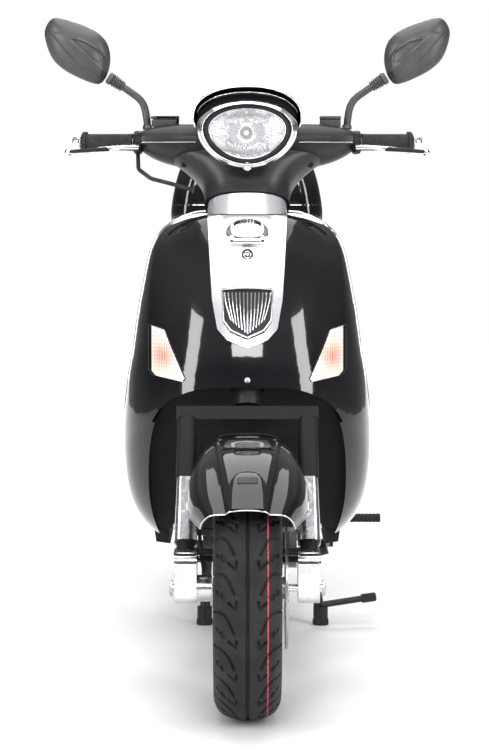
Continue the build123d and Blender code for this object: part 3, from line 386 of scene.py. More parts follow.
# ---- finishes of the whole machine ---------------------------------------------------------------
# Lacquered body panels, grained mouldings, chrome, cast alloy, steel and rubber. Each has the fine
# unevenness of its own making, from orange peel in the lacquer to the grit of sand-cast alloy.
def lacquer(name, tint, dust):
    """Deep gloss lacquer with faint orange peel and a little settled dust."""
    return finish(
        name,
        lambda w: w.noise(9.0, 6).within(0.35, 0.75).tint(tint, dust),
        lambda w: w.noise(60.0, 5).within(0.3, 0.9) * 0.10 + 0.07,
        bump=lambda w: w.noise(420.0, 2) * 0.6 + w.noise(90.0, 2) * 0.4,
        depth=0.00006,
        coat_weight=1.0,
        coat_roughness=0.03,
        coat_ior=1.42,
        specular_ior_level=0.12,
    )


gloss_black = lacquer("gloss_black", (0.004, 0.004, 0.005), (0.010, 0.010, 0.012))
matte_black = finish(
    "grained_black",
    lambda w: w.noise(35.0, 6).within(0.3, 0.8).tint((0.006, 0.006, 0.006), (0.013, 0.013, 0.013)),
    lambda w: w.noise(25.0, 4).within(0.2, 0.9) * 0.18 + 0.42,
    bump=lambda w: w.node(
        "ShaderNodeTexVoronoi", {"feature": "SMOOTH_F1"}, {"Vector": w.place(), "Scale": 1100.0}
    ),
    depth=0.00022,
    specular_ior_level=0.25,
)
chrome = finish(
    "chrome_plate",
    lambda w: w.noise(18.0, 4).within(0.3, 0.8).tint((0.80, 0.81, 0.83), (0.90, 0.90, 0.91)),
    lambda w: w.noise(70.0, 6).within(0.35, 0.9) * 0.10 + 0.04,
    bump=lambda w: w.noise(160.0, 3),
    depth=0.00004,
    metallic=1.0,
)
silver_lacquer = finish(
    "silver_lacquer",
    lambda w: w.noise(2600.0, 1).within(0.3, 0.8).tint((0.62, 0.63, 0.65), (0.86, 0.87, 0.89)),
    lambda w: w.noise(50.0, 4) * 0.10 + 0.18,
    bump=lambda w: w.noise(420.0, 2),
    depth=0.00005,
    metallic=0.75,
    coat_weight=0.8,
    coat_roughness=0.05,
)
polished_alloy = finish(
    "polished_alloy",
    lambda w: w.noise(26.0, 6).within(0.3, 0.8).tint((0.62, 0.63, 0.65), (0.80, 0.81, 0.82)),
    lambda w: w.noise(120.0, 6).within(0.3, 0.9) * 0.20 + 0.16,
    bump=lambda w: w.noise(240.0, 4),
    depth=0.0001,
    metallic=1.0,
)
cast_alloy = finish(
    "cast_alloy",
    lambda w: w.noise(60.0, 6).within(0.3, 0.8).tint((0.30, 0.30, 0.31), (0.44, 0.44, 0.45)),
    lambda w: w.noise(40.0, 5) * 0.25 + 0.38,
    bump=lambda w: w.noise(700.0, 5, roughness=0.7) + w.noise(90.0, 3) * 0.5,
    depth=0.0004,
    metallic=0.9,
)
steel = finish(
    "ground_steel",
    lambda w: w.noise(45.0, 6).within(0.35, 0.8).tint((0.46, 0.46, 0.48), (0.62, 0.62, 0.63)),
    lambda w: w.noise(150.0, 6) * 0.25 + 0.20,
    bump=lambda w: w.noise(600.0, 4),
    depth=0.00006,
    metallic=1.0,
)
black_paint = finish(
    "black_paint",
    lambda w: w.noise(30.0, 6).within(0.3, 0.8).tint((0.010, 0.010, 0.011), (0.022, 0.022, 0.024)),
    lambda w: w.noise(30.0, 5) * 0.2 + 0.30,
    bump=lambda w: w.noise(500.0, 3),
    depth=0.00015,
    specular_ior_level=0.3,
)
rubber = finish(
    "moulded_rubber",
    lambda w: w.noise(55.0, 6).within(0.3, 0.8).tint((0.014, 0.014, 0.014), (0.030, 0.030, 0.030)),
    lambda w: w.noise(60.0, 5) * 0.2 + 0.55,
    bump=lambda w: w.noise(900.0, 3),
    depth=0.0002,
    specular_ior_level=0.25,
)
tyre_rubber = finish(
    "tyre_rubber",
    lambda w: w.noise(24.0, 8).within(0.3, 0.8).tint((0.010, 0.010, 0.010), (0.026, 0.026, 0.026)),
    lambda w: w.noise(80.0, 6) * 0.2 + 0.52,
    bump=lambda w: w.noise(1200.0, 4),
    depth=0.0003,
    specular_ior_level=0.2,
)
dark_exhaust = finish(
    "baked_black",
    lambda w: w.noise(14.0, 6).within(0.3, 0.8).tint((0.018, 0.017, 0.017), (0.045, 0.040, 0.037)),
    lambda w: w.noise(30.0, 5) * 0.2 + 0.45,
    bump=lambda w: w.noise(380.0, 4),
    depth=0.0003,
)
clear_plastic = finish(
    "clear_plastic",
    lambda w: w.noise(30.0, 2).tint((0.93, 0.95, 0.96), (1.0, 1.0, 1.0)),
    lambda w: w.noise(80.0, 3) * 0.03 + 0.01,
    alpha=0.14,
)
red_plastic = finish(
    "red_plastic",
    lambda w: w.noise(30.0, 2).tint((0.55, 0.012, 0.010), (0.70, 0.03, 0.02)),
    lambda w: w.noise(60.0, 3) * 0.05 + 0.05,
    bump=lambda w: w.node(
        "ShaderNodeTexWave", {"bands_direction": "X"}, {"Vector": w.place(), "Scale": 120.0}
    ),
    depth=0.0003,
    coat_weight=1.0,
)
amber_plastic = finish(
    "amber_plastic",
    lambda w: w.noise(30.0, 2).tint((0.80, 0.22, 0.02), (0.95, 0.34, 0.04)),
    lambda w: w.noise(60.0, 3) * 0.05 + 0.06,
    coat_weight=1.0,
)
silvered = finish(
    "silvered_glass",
    lambda w: w.noise(8.0, 2).tint((0.86, 0.88, 0.90), (0.92, 0.93, 0.94)),
    lambda w: w.noise(30.0, 2) * 0.01 + 0.005,
    metallic=1.0,
)
plate_paint = finish(
    "plate_enamel",
    lambda w: w.noise(14.0, 5).tint((0.72, 0.72, 0.70), (0.82, 0.82, 0.80)),
    lambda w: w.noise(30.0, 4) * 0.1 + 0.25,
    bump=lambda w: w.noise(300.0, 3),
    depth=0.0001,
    coat_weight=0.6,
)

satin_black = finish(
    "satin_black",
    lambda w: w.noise(30.0, 5).within(0.3, 0.8).tint((0.014, 0.014, 0.015), (0.026, 0.026, 0.028)),
    lambda w: w.noise(40.0, 4) * 0.12 + 0.26,
    bump=lambda w: w.noise(900.0, 3),
    depth=0.00006,
    specular_ior_level=0.3,
)
# Painted shade: a deeper, rougher black than the others, given to the fork, its covers and the wheel well
# because they sit in shadow.
painted_shade_black = finish(
    "painted_shade_black",
    lambda w: w.noise(30.0, 6).within(0.3, 0.8).tint((0.003, 0.003, 0.003), (0.008, 0.008, 0.008)),
    lambda w: w.noise(30.0, 5) * 0.2 + 0.50,
    bump=lambda w: w.noise(700.0, 3),
    depth=0.00015,
    specular_ior_level=0.25,
)
dress(gloss_black, "leg_shield", "front_panel", "rear_cowl", "front_fender", "headlight_shell")
dress(satin_black, "cowl_upper", "cowl_lower")
dress(gloss_black, "top_box_lid", "top_box_base")
# painted shade on the fork covers and the wheel well
dress(painted_shade_black, "fork_covers", "wheel_well")
dress(matte_black, "brake_controls", "knee_panel", "floorboard")
dress(
    matte_black, "storage_bucket", "air_filter", "rear_mudguard", "seat_pan", "mirrors", "instrument_dial"
)
dress(silver_lacquer, "centre_strip", "steering_collar")
dress(polished_alloy, "fork_lowers", "front_rim", "rear_rim")
dress(cast_alloy, "engine", "belt_case", "swing_arm", "brake_caliper")
# painted shade on the fork's crown as well
dress(painted_shade_black, "fork")
dress(steel, "handlebar", "brake_disc", "rear_shocks", "kick_starter")
dress(black_paint, "front_grille", "main_frame", "carrier_rack", "centre_stand", "side_stand")
dress(rubber, "grips", "control_cables")
dress(dark_exhaust, "exhaust")
dress(tyre_rubber, "front_tyre", "rear_tyre")
dress(clear_plastic, "headlight_lens", "front_indicators")
dress(red_plastic, "rear_lamps")
dress(silvered, "mirror_glasses")
dress(plate_paint, "number_plate")
dress(matte_black, "seat_cushion")

# ---- tyres ---------------------------------------------------------------------------------------
# Low 12-inch scooter tyres. The tread is moulded: one centre groove, and on each shoulder a tick, a
# long curved groove and two small cuts, repeated all the way round. A thin marking line runs on one side.
TREAD_REPEATS = 21
TREAD_DEPTH = 0.0045
CENTRE_GROOVE = 0.0022
STEPS_PER_REPEAT = 42
CROWN_STEPS = 84
LINE_X = 0.0354
LINE_HALF = 0.0009
# (x, distance along the tread) of each cut's spine, with its half width
TREAD_CUTS = [
    ([(0.0326, 0.0123), (0.0200, 0.0000), (0.0184, 0.0149)], 0.0019),
    (
        [(0.0610, -0.0078), (0.0470, -0.0052), (0.0400, -0.0098), (0.0320, -0.0205), (0.0225, -0.0440)],
        0.0021,
    ),
    ([(0.0440, 0.0262), (0.0405, 0.0185)], 0.0032),
    ([(0.0525, 0.0335), (0.0512, 0.0262)], 0.0016),
]


def tyre_profile(radius, half_width, bead_radius, bead_half):
    """The outline from bead to bead, as (x, radius) pairs, dense over the crown."""
    rise = radius - bead_radius
    side = [
        (bead_half, bead_radius),
        (half_width, bead_radius + rise * 0.46),
        (half_width * 0.84, bead_radius + rise * 0.80),
        (half_width * 0.45, bead_radius + rise * 0.95),
        (0.0, radius),
    ]
    whole = side + [(-x, r) for x, r in reversed(side[:-1])]
    path = smooth_path([(x, r, 0) for x, r in whole], 40)
    lengths = np.cumsum([0] + [(b - a).length for a, b in zip(path, path[1:])])
    wall = rise * 0.40
    stops = np.concatenate(
        [
            np.linspace(0, wall, 7)[:-1],
            np.linspace(wall, lengths[-1] - wall, CROWN_STEPS),
            np.linspace(lengths[-1] - wall, lengths[-1], 7)[1:],
        ]
    )
    xs = np.interp(stops, lengths, [p.x for p in path])
    rs = np.interp(stops, lengths, [p.y for p in path])
    return xs, rs


def cut_depth(x, along, repeat):
    """How deep the tread is cut at each point, from 0 to 1."""
    side = np.abs(x)
    deepest = np.clip((CENTRE_GROOVE - side) / 0.0008 + 0.5, 0, 1)
    for spine, half in TREAD_CUTS:
        for (x0, s0), (x1, s1) in zip(spine, spine[1:]):
            for shift in (-repeat, 0, repeat):
                dx, ds = x1 - x0, s1 - s0
                t = np.clip(((side - x0) * dx + (along - s0 - shift) * ds) / (dx * dx + ds * ds), 0, 1)
                gap = np.hypot(side - x0 - t * dx, along - s0 - shift - t * ds)
                deepest = np.maximum(deepest, np.clip((half - gap) / 0.0009 + 0.5, 0, 1))
    return deepest


def tyre(node, body, material):
    """A tyre with its moulded tread, in place of the plain one."""
    centre = middle(node)
    low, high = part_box(node)
    radius = (high.z - low.z) / 2
    xs, rs = tyre_profile(radius, (high.x - low.x) / 2, radius * 0.643, 0.040)
    count = TREAD_REPEATS * STEPS_PER_REPEAT
    repeat = 2 * math.pi * radius / TREAD_REPEATS
    turn = 2 * math.pi * np.arange(count) / count
    along = (turn * radius) % repeat
    along = np.where(along > repeat / 2, along - repeat, along)
    grid_x = np.repeat(xs[None, :], count, 0)
    grid_r = np.repeat(rs[None, :], count, 0)
    on_tread = np.clip((grid_r - radius * 0.79) / 0.004, 0, 1)
    depth = cut_depth(grid_x, np.repeat(along[:, None], len(xs), 1), repeat) * on_tread
    grid_r = grid_r - depth * TREAD_DEPTH
    grid_x = grid_x - np.sign(grid_x) * depth * TREAD_DEPTH * np.clip((np.abs(grid_x) - 0.045) / 0.02, 0, 1)
    inner_x = np.array([-0.034, -0.048, -0.044, -0.020, 0.020, 0.044, 0.048, 0.034])
    inner_r = np.array([0.640, 0.76, 0.90, 0.945, 0.945, 0.90, 0.76, 0.640]) * radius
    grid_x = np.concatenate([grid_x, np.repeat(inner_x[None, :], count, 0)], 1)
    grid_r = np.concatenate([grid_r, np.repeat(inner_r[None, :], count, 0)], 1)
    angle = turn[:, None]
    y = centre.y - grid_r * np.cos(angle)
    z = centre.z + grid_r * np.sin(angle)
    points = np.stack([grid_x + centre.x, y, z], 2).reshape(-1, 3)
    width = grid_x.shape[1]
    a = np.arange(count * width).reshape(count, width)
    b = np.roll(a, -1, 0)
    c = np.roll(b, -1, 1)
    d = np.roll(a, -1, 1)
    faces = np.stack([a, d, c, b], 2).reshape(-1, 4)
    made = piece(
        node + "_treaded", Shape().add(points.tolist(), faces.tolist()), body, material, 60
    )
    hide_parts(node)


def marked_rubber(w):
    """Tyre rubber with the marking line on its left shoulder."""
    x = w.node("ShaderNodeSeparateXYZ", {}, {"Vector": w.place()})
    line = w.math("ABSOLUTE", x - LINE_X).within(LINE_HALF * 1.6, LINE_HALF * 0.7)
    worn = line * w.noise(210.0, 3).within(0.36, 0.44)
    base = w.noise(24.0, 8).within(0.3, 0.8).tint((0.010, 0.010, 0.010), (0.026, 0.026, 0.026))
    return w.node(
        "ShaderNodeMix", {"data_type": "RGBA"}, {
            "Factor": worn, 6: base, 7: (0.62, 0.055, 0.12, 1)
        }, output=2
    )


marked_tyre = finish(
    "marked_tyre_rubber",
    marked_rubber,
    lambda w: w.noise(80.0, 6) * 0.2 + 0.50,
    bump=lambda w: w.noise(1200.0, 4),
    depth=0.0003,
    specular_ior_level=0.2,
)
tyre("front_tyre", "front_wheel", marked_tyre)
tyre("rear_tyre", "rear_wheel", tyre_rubber)

# ---- headlight -----------------------------------------------------------------------------------
# A wide rounded-triangle lamp. A chromed bezel is screwed over the pod, a black rubber ring seats the
# clear lens, and behind it sits a stepped, aluminised reflector with a shielded bulb.
HEADLIGHT_Z = 1.060
LENS_BACK_Y = -0.440
LENS_HALF = (0.077, 0.050)


def lamp_outline(half_width, half_height, y, count=96):
    """The rounded outline of the headlight at one depth, wide at the top."""
    loop = []
    for step in range(count):
        angle = 2 * math.pi * step / count
        s = math.sin(angle)
        narrowing = 1 - 0.17 * ((1 - s) / 2) ** 1.5
        height = s * (0.86 if s > 0 else 1.04)
        loop.append(
            Vector((half_width * math.cos(angle) * narrowing, y, HEADLIGHT_Z + half_height * height))
        )
    return loop


def lamp_ring(profile):
    """A ring swept round the lamp: profile is (growth beyond the lens, y) pairs."""
    loops = [lamp_outline(LENS_HALF[0] + grow, LENS_HALF[1] + grow * 0.72, y) for grow, y in profile]
    return rings(loops, cap=False)


bezel = lamp_ring(
    [
        (0.0245, -0.4410),
        (0.0250, -0.4450),
        (0.0242, -0.4500),
        (0.0215, -0.4545),
        (0.0195, -0.4560),
        (0.0180, -0.4545),
        (0.0168, -0.4570),
        (0.0140, -0.4585),
        (0.0118, -0.4560),
        (0.0108, -0.4500),
        (0.0105, -0.4440),
    ]
)
bezel.join(
    lathe(
        [(0, 0.0085), (0.003, 0.0085), (0.005, 0.0065), (0.005, 0.0)], (0, -0.4470, 0.9935), (0, -1, 0), 24
    )
)
bezel.join(lathe([(0, 0.0035), (0.0015, 0.0035), (0.0018, 0.0)], (0, -0.4515, 0.9935), (0, -1, 0), 16))
piece("headlight_bezel", bezel, "steering", chrome, 50)
seal = lamp_ring(
    [(0.0108, -0.4470), (0.0085, -0.4500), (0.0050, -0.4515), (0.0022, -0.4505), (0.0008, -0.4440)]
)
seal.join(
    rings([lamp_outline(0.006, 0.006, y, 3) for y in (-0.4560, -0.4530)]),
    Matrix.Translation((0, 0, 0.0510)),
)
piece("headlight_seal", seal, "steering", rubber, 50)
lens_lip = lamp_ring(
    [(0.0012, -0.4500), (0.0008, -0.4535), (-0.0012, -0.4545), (-0.0026, -0.4530), (-0.0030, -0.4480)]
)
piece("lens_edge", lens_lip, "steering", chrome, 60)

REFLECTOR_DEPTH = 0.038
BULB = (-0.002, 1.057)
BULB_HOLE = 0.017
STEP_X = (-0.040, 0.037)
bowl_loops = []
for step in range(15):
    share = step / 14
    loop = []
    for point in lamp_outline(LENS_HALF[0] - 0.001, LENS_HALF[1] - 0.001, 0, 160):
        inner_x = BULB[0] + BULB_HOLE * (point.x - BULB[0]) / math.hypot(
            point.x - BULB[0], point.z - BULB[1]
        )
        inner_z = BULB[1] + BULB_HOLE * (point.z - BULB[1]) / math.hypot(
            point.x - BULB[0], point.z - BULB[1]
        )
        x = point.x + (inner_x - point.x) * share
        z = point.z + (inner_z - point.z) * share
        depth = REFLECTOR_DEPTH * (1 - (1 - share) ** 2.2)
        outside = x < STEP_X[0] or x > STEP_X[1]
        flutes = 0.0011 * math.sin(x * 1600) if outside else 0.0
        facets = 0.0016 * (
            math.sin(x * 900) * math.sin(z * 620)
        ) if abs(z - BULB[1]) > 0.020 and not outside else 0.0
        step_back = 0.006 * min(1, share * 6) if not outside else 0.0
        edge = min(1.0, share * 8)
        loop.append((x, LENS_BACK_Y + 0.001 + min(depth + step_back, 0.040) + (flutes + facets) * edge, z))
    bowl_loops.append(loop)
mirror_finish = finish(
    "aluminised",
    lambda w: w.noise(300.0, 3).within(0.3, 0.8).tint((0.78, 0.79, 0.82), (0.95, 0.95, 0.97)),
    lambda w: w.noise(90.0, 3) * 0.14 + 0.08,
    bump=lambda w: w.noise(260.0, 3),
    depth=0.0002,
    metallic=1.0,
)
piece("headlight_reflector", rings(bowl_loops, cap=False), "steering", mirror_finish, 25)
shield = lathe(
    [
        (-0.004, 0.0195), (0.006, 0.0190), (0.0085, 0.0175), (0.0090, 0.0150), (0.0070, 0.0125),
        (0.0010, 0.0115),
    ],
    (BULB[0], -0.412, BULB[1]),
    (0, -1, 0),
    48,
    False,
)
piece("bulb_shield", shield, "steering", chrome, 30)
socket_well = lathe(
    [(0.002, 0.0118), (-0.006, 0.0112), (-0.008, 0.0)], (BULB[0], -0.412, BULB[1]), (0, -1, 0), 32, False
)
piece("bulb_socket", socket_well, "steering", black_paint, 30)
bulb_glass = lathe(
    [
        (-0.008, 0.0052), (0.006, 0.0052), (0.011, 0.0040), (0.0135, 0.0)
    ], (BULB[0], -0.412, BULB[1]), (0, -1, 0), 24
)
bulb_finish = finish(
    "bulb_glass",
    lambda w: w.noise(60.0, 2).tint((0.75, 0.76, 0.80), (0.95, 0.95, 1.0)),
    lambda w: w.noise(60.0, 2) * 0.05 + 0.05,
    coat_weight=1.0,
)
piece("headlight_bulb", bulb_glass, "steering", bulb_finish, 40)

# ---- hood over the headlight ---------------------------------------------------------------------
# A gloss black visor stands over the lamp, moulded in one with the instrument hood. Its front edge
# carries a thin bright bead, and a second bead runs along the joint with the pod.
HOOD_CENTRE_Z = 1.087
HOOD_HALF = (0.1025, 0.0575)


def hood_arc(grow, y, start=-0.30, count=60):
    """A line over the top of the hood, from one side to the other."""
    line = []
    for step in range(count + 1):
        angle = start + (math.pi - 2 * start) * step / count
        c, s = math.cos(angle), math.sin(angle)
        x = (HOOD_HALF[0] + grow) * math.copysign(abs(c) ** (2 / 2.2), c)
        z = (HOOD_HALF[1] + grow) * math.copysign(abs(s) ** (2 / 2.2), s)
        line.append(Vector((x, y, HOOD_CENTRE_Z + z)))
    return line


visor_lines = [
    hood_arc(grow, y) for grow, y in (
        (0.0005, -0.398), (0.0010, -0.436), (-0.0010, -0.436), (-0.0015, -0.398)
    )
]
visor_lines = [
    [p - Vector((0, 0.006 * (p.z - HOOD_CENTRE_Z) / 0.058, 0)) for p in line] for line in visor_lines
]
piece(
    "headlight_visor",
    rings(visor_lines, closed=False, cap=False),
    "steering",
    gloss_black,
    40,
)
bead = [
    p - Vector((0, 0.0365 + 0.006 * (p.z - HOOD_CENTRE_Z) / 0.058, 0)) for p in hood_arc(0.0002, -0.400)
]
bright_beads = tube(bead, 0.0017, 10)
bright_beads.join(tube([p + Vector((0, 0, -0.0065)) for p in hood_arc(-0.004, -0.4255, 0.25)], 0.0010, 8))
piece("visor_bead", bright_beads, "steering", chrome, 60)

# ---- front strip, grille, ornament and ring lock -------------------------------------------------
# The silver strip runs from the neck to a shield-shaped grille. Its die-cast ornament is chromed, the
# ring lock opens the small locker behind it, and the grille is thirteen bars under a bowed rail.
surfaces = {}


def on_front(name, x, z, lift=0.0):
    """The point of a CAD node met by a ray from straight ahead, moved out along its normal."""
    if name not in surfaces:
        mesh = nodes[name].data
        surfaces[name] = BVHTree.FromPolygons(
            [v.co for v in mesh.vertices], [tuple(f.vertices) for f in mesh.polygons], epsilon=0
        )
    place, normal, _, _ = surfaces[name].ray_cast(Vector((x, -2.0, z)), Vector((0, 1, 0)))
    if place is None:
        return None
    if normal.y > 0:
        normal = -normal
    return place + normal * lift


GRILLE_BARS = 13
GRILLE_HALF_TOP = 0.043
GRILLE_HALF_LOW = 0.030
GRILLE_TOP_Z = 0.7575
bars = Shape()
for step in range(GRILLE_BARS):
    share = 2 * step / (GRILLE_BARS - 1) - 1
    low_z = 0.683 + 0.024 * abs(share) ** 1.15
    line = []
    for rung in range(9):
        t = rung / 8
        x = share * (GRILLE_HALF_TOP + (GRILLE_HALF_LOW - GRILLE_HALF_TOP) * t**1.4)
        point = on_front("front_grille", x, GRILLE_TOP_Z + (low_z - GRILLE_TOP_Z) * t, 0.0014)
        if point:
            line.append(point)
    if len(line) > 2:
        bars.join(tube(line, 0.00125, 10, flat=1.5))
piece("grille_bars", bars, "frame", chrome, 60)
rim_line = []
for x, z in ((0.047, 0.764), (0.046, 0.745), (0.043, 0.706), (0.0295, 0.6885), (0.0, 0.6755)):
    rim_line.append((x, z))
rim_line = rim_line + [(-x, z) for x, z in reversed(rim_line[:-1])]
rim_path = []
for (x0, z0), (x1, z1) in zip(rim_line, rim_line[1:]):
    for step in range(6):
        t = step / 6
        point = on_front("front_grille", x0 + (x1 - x0) * t, z0 + (z1 - z0) * t, 0.0022)
        if point:
            rim_path.append(point)
piece("grille_rim", tube(rim_path, 0.0016, 10), "frame", chrome, 60)
rail_line = []
for step in range(21):
    x = 0.050 * (step / 10 - 1)
    point = on_front("centre_strip", x * 1.0, 0.772, 0.0) or on_front("front_grille", x, 0.762, 0.0)
    rail_line.append(Vector((x, point.y - 0.0035, 0.7655 - 0.0030 * (x / 0.050) ** 2 + 0.0025)))
rail = tube(rail_line, [0.0022 + 0.0018 * (1 - abs(k / 10 - 1) ** 4) for k in range(21)], 14)
piece("grille_rail", rail, "frame", chrome, 60)

ORNAMENT_Z = 0.868
ornament = Shape()
loops = []
for step in range(13):
    t = step / 12
    swell = math.sin(math.pi / 2 * t)
    loop = []
    for k in range(48):
        angle = 2 * math.pi * k / 48
        c, s = math.cos(angle), math.sin(angle)
        x = 0.041 * c * math.cos(math.pi / 2 * t) ** 0.6 if t < 1 else 0
        z = (0.027 if s > 0 else 0.016) * s * math.cos(math.pi / 2 * t) ** 0.6 if t < 1 else 0
        base = on_front("centre_strip", x, ORNAMENT_Z + z)
        base = base if base else Vector((x, -0.47, ORNAMENT_Z + z))
        loop.append(Vector((x, base.y - 0.001 - 0.011 * swell, ORNAMENT_Z + z)))
    loops.append(loop)
ornament.join(rings(loops, cap=False))
for k in range(-2, 3):
    x = k * 0.0058
    line = []
    for z in (0.862, 0.870, 0.878, 0.886, 0.892):
        base = on_front("centre_strip", x, z)
        line.append(Vector((x, base.y - 0.0125 + 0.0035 * ((z - 0.868) / 0.024) ** 2, z)))
    ornament.join(tube(line, 0.0017, 8))
bar_low = on_front("centre_strip", 0, 0.853)
ornament.join(
    slab((-0.034, bar_low.y - 0.0125, 0.8475), (0.034, bar_low.y + 0.004, 0.8585), 0.0022)
)
ornament.join(slab((-0.026, bar_low.y - 0.0140, 0.8500), (0.026, bar_low.y, 0.8560), 0.0012))
piece("strip_ornament", ornament, "frame", chrome, 40)

lock_seat = on_front("centre_strip", 0, 0.828)
ring = lathe(
    [(-0.002, 0.0110), (0.002, 0.0110), (0.0034, 0.0098), (0.0034, 0.0080), (0.0010, 0.0074)],
    lock_seat, (0, -1, 0.25), 36, False,
)
piece("lock_ring", ring, "frame", black_paint, 40)
barrel = lathe(
    [(-0.002, 0.0072), (0.0022, 0.0070), (0.0028, 0.0060), (0.0028, 0.0)], lock_seat, (0, -1, 0.25), 32
)
barrel.join(
    slab(
        (lock_seat.x - 0.0008, lock_seat.y - 0.0036, 0.8255),
        (lock_seat.x + 0.0008, lock_seat.y - 0.0026, 0.8312),
        0.0002,
    )
)
piece("lock_barrel", barrel, "frame", chrome, 40)

# ---- front indicators ----------------------------------------------------------------------------
# Clear ribbed lenses let into the panel, with an amber bulb behind each and a thin black gasket round. The
# lens colour holds a painted reflection of the reflector behind it and a painted warm halo round the bulb.
def lens_painted_light(w):
    """Clear plastic with a painted reflection of the bright reflector behind it, a painted warm halo round the
    bulb, and the bulb's own red in the middle.
    """
    place = w.place()
    parts = w.node("ShaderNodeSeparateXYZ", {}, {"Vector": place})
    height = w.node("ShaderNodeSeparateXYZ", {}, {"Vector": place}, output=2)
    side = w.math("ABSOLUTE", parts)
    off_x = side - 0.158
    off_z = height - 0.640
    far = w.math("SQRT", off_x * off_x * 1.6 + off_z * off_z)
    warm = far.within(0.030, 0.004)
    ribs = w.math("SINE", side * 1350.0).within(-0.7, 0.9)
    blocks = w.math("SINE", height * 900.0).within(-0.8, 1.0)
    # painted reflection: the reflector seen through the lens, lit and dark by the ribs and blocks
    pale = (ribs * 0.6 + blocks * 0.4).tint((0.50, 0.47, 0.46), (0.95, 0.93, 0.92))
    # painted light: a peach halo round the bulb
    peach = w.node(
        "ShaderNodeMix",
        {"data_type": "RGBA"},
        {"Factor": (0.25 + 0.35 * ribs) * far.within(0.060, 0.020), 6: pale, 7: (0.95, 0.52, 0.30, 1)},
        output=2,
    )
    return w.node(
        "ShaderNodeMix",
        {"data_type": "RGBA"},
        {"Factor": warm * (0.5 + 0.5 * ribs), 6: peach, 7: (0.75, 0.13, 0.08, 1)},
        output=2,
    )


ribbed_lens = finish(
    "ribbed_lens",
    lens_painted_light,
    lambda w: w.noise(60.0, 3) * 0.06 + 0.06,
    bump=lambda w: w.math(
        "SINE", w.math("ABSOLUTE", w.node("ShaderNodeSeparateXYZ", {}, {"Vector": w.place()})) * 1350.0
    ) * 0.5,
    depth=0.0006,
    coat_weight=1.0,
)
dress(ribbed_lens, "front_indicators")
INDICATOR_CORNERS = [
    (0.181, 0.694), (0.156, 0.688), (0.145, 0.661), (0.117, 0.600), (0.121, 0.594), (0.172, 0.603),
    (0.180, 0.612),
]
gasket = []
for (x0, z0), (x1, z1) in zip(INDICATOR_CORNERS, INDICATOR_CORNERS[1:] + INDICATOR_CORNERS[:1]):
    for step in range(8):
        t = step / 8
        x, z = x0 + (x1 - x0) * t, z0 + (z1 - z0) * t
        x += 0.0006 * math.copysign(1, x - 0.155)
        point = on_front("front_panel", x, z, 0.0004) or on_front("leg_shield", x, z, 0.0065)
        if point:
            gasket.append(point)
piece("indicator_gaskets", tube(gasket, 0.0013, 8, closed=True).both(), "frame", rubber, 60)

# ---- edge trim of the leg shield -----------------------------------------------------------------
# A bright moulding clipped over the free edge of the leg shield, from the neck down to the floor.
EDGE_HEIGHTS = (0.284, 0.400, 0.530, 0.600, 0.680, 0.760, 0.820, 0.862, 0.888)
EDGE_BACK = (-0.352, -0.360, -0.370, -0.372, -0.368, -0.360, -0.352, -0.345, -0.342)


def from_side(name, y, z):
    """The widest point of a CAD node at a place seen from the left."""
    on_front(name, 0, -1)
    place, normal, _, _ = surfaces[name].ray_cast(Vector((1.0, y, z)), Vector((-1, 0, 0)))
    return place


edge_line = []
for step in range(50):
    z = 0.290 + (0.886 - 0.290) * step / 49
    y = float(np.interp(z, EDGE_HEIGHTS, EDGE_BACK))
    point = from_side("leg_shield", y - 0.003, z)
    edge_line.append(Vector((point.x + 0.0002, y + 0.0005, z)))
edge_line += [
    Vector((0.122, -0.3405, 0.8960)), Vector((0.100, -0.3402, 0.9035)), Vector((0.080, -0.3440, 0.9050))
]
edge_trim = tube(edge_line, 0.0034, 12)
piece("shield_edge_trim", edge_trim.both(), "frame", chrome, 60)
screw_seats = [(0.0, 0.5985)]
for index, (x, z) in enumerate(screw_seats):
    seat = on_front("front_panel", x, z)
    head = lathe(
        [(-0.001, 0.0055), (0.0016, 0.0052), (0.0030, 0.0034), (0.0034, 0.0)], seat, (0, -1, 0), 24
    )
    head.join(
        slab(
            (seat.x - 0.0026, seat.y - 0.0038, seat.z - 0.0005),
            (seat.x + 0.0026, seat.y - 0.0030, seat.z + 0.0005),
            0.0001,
        )
    )
    piece("panel_screw", head, "frame", steel, 40)

# ---- front mudguard ------------------------------------------------------------------------------
# A helmet-shaped guard over the tyre. Its crown carries a raised prow with a blank plinth, a crease
# divides the crown from the flared cheeks, and the rolled lip is bright.
GUARD_RADIUS = 0.281
# (angle from straight ahead, half width, skirt depth, crease half width, height of the crown)
GUARD_STATIONS = [
    (37.5, 0.082, 0.064, 0.036, 0.003),
    (46, 0.099, 0.079, 0.042, 0.004),
    (54, 0.1060, 0.089, 0.047, 0.004),
    (66, 0.1085, 0.092, 0.053, 0.003),
    (80, 0.100, 0.088, 0.056, 0.001),
    (92, 0.091, 0.083, 0.055, 0.0),
    (110, 0.084, 0.078, 0.052, 0.0),
    (130, 0.082, 0.073, 0.050, 0.0),
    (148, 0.080, 0.069, 0.048, 0.0),
]


def guard_point(angle, x, depth):
    """A point of the mudguard: x across, depth below its crown radius, at an angle from straight ahead."""
    turn = math.radians(angle)
    radius = GUARD_RADIUS - depth
    return Vector((x, front_axle.y - radius * math.cos(turn), front_axle.z + radius * math.sin(turn)))


def guard_section(angle, inner=0.0):
    """Half of one section, from the middle of the crown out to the lip."""
    table = np.array(GUARD_STATIONS)
    half, skirt, crease, crown = [float(np.interp(angle, table[:, 0], table[:, k])) for k in (1, 2, 3, 4)]
    outline = [
        (0.0, 0.0),
        (crease * 0.45, 0.0010),
        (crease * 0.86, 0.0038 + crown * 0.4),
        (crease, 0.0075 + crown),
        (crease * 1.05, 0.0105 + crown * 1.4),
        (crease * 1.12 + (half - crease) * 0.16, skirt * 0.145 + 0.006),
        (half * 0.80, skirt * 0.30),
        (half * 0.935, skirt * 0.58),
        (half * 0.985, skirt * 0.82),
        (half, skirt),
    ]
    return [(x - inner * min(1.0, x / 0.04), depth + inner * 0.8) for x, depth in outline]


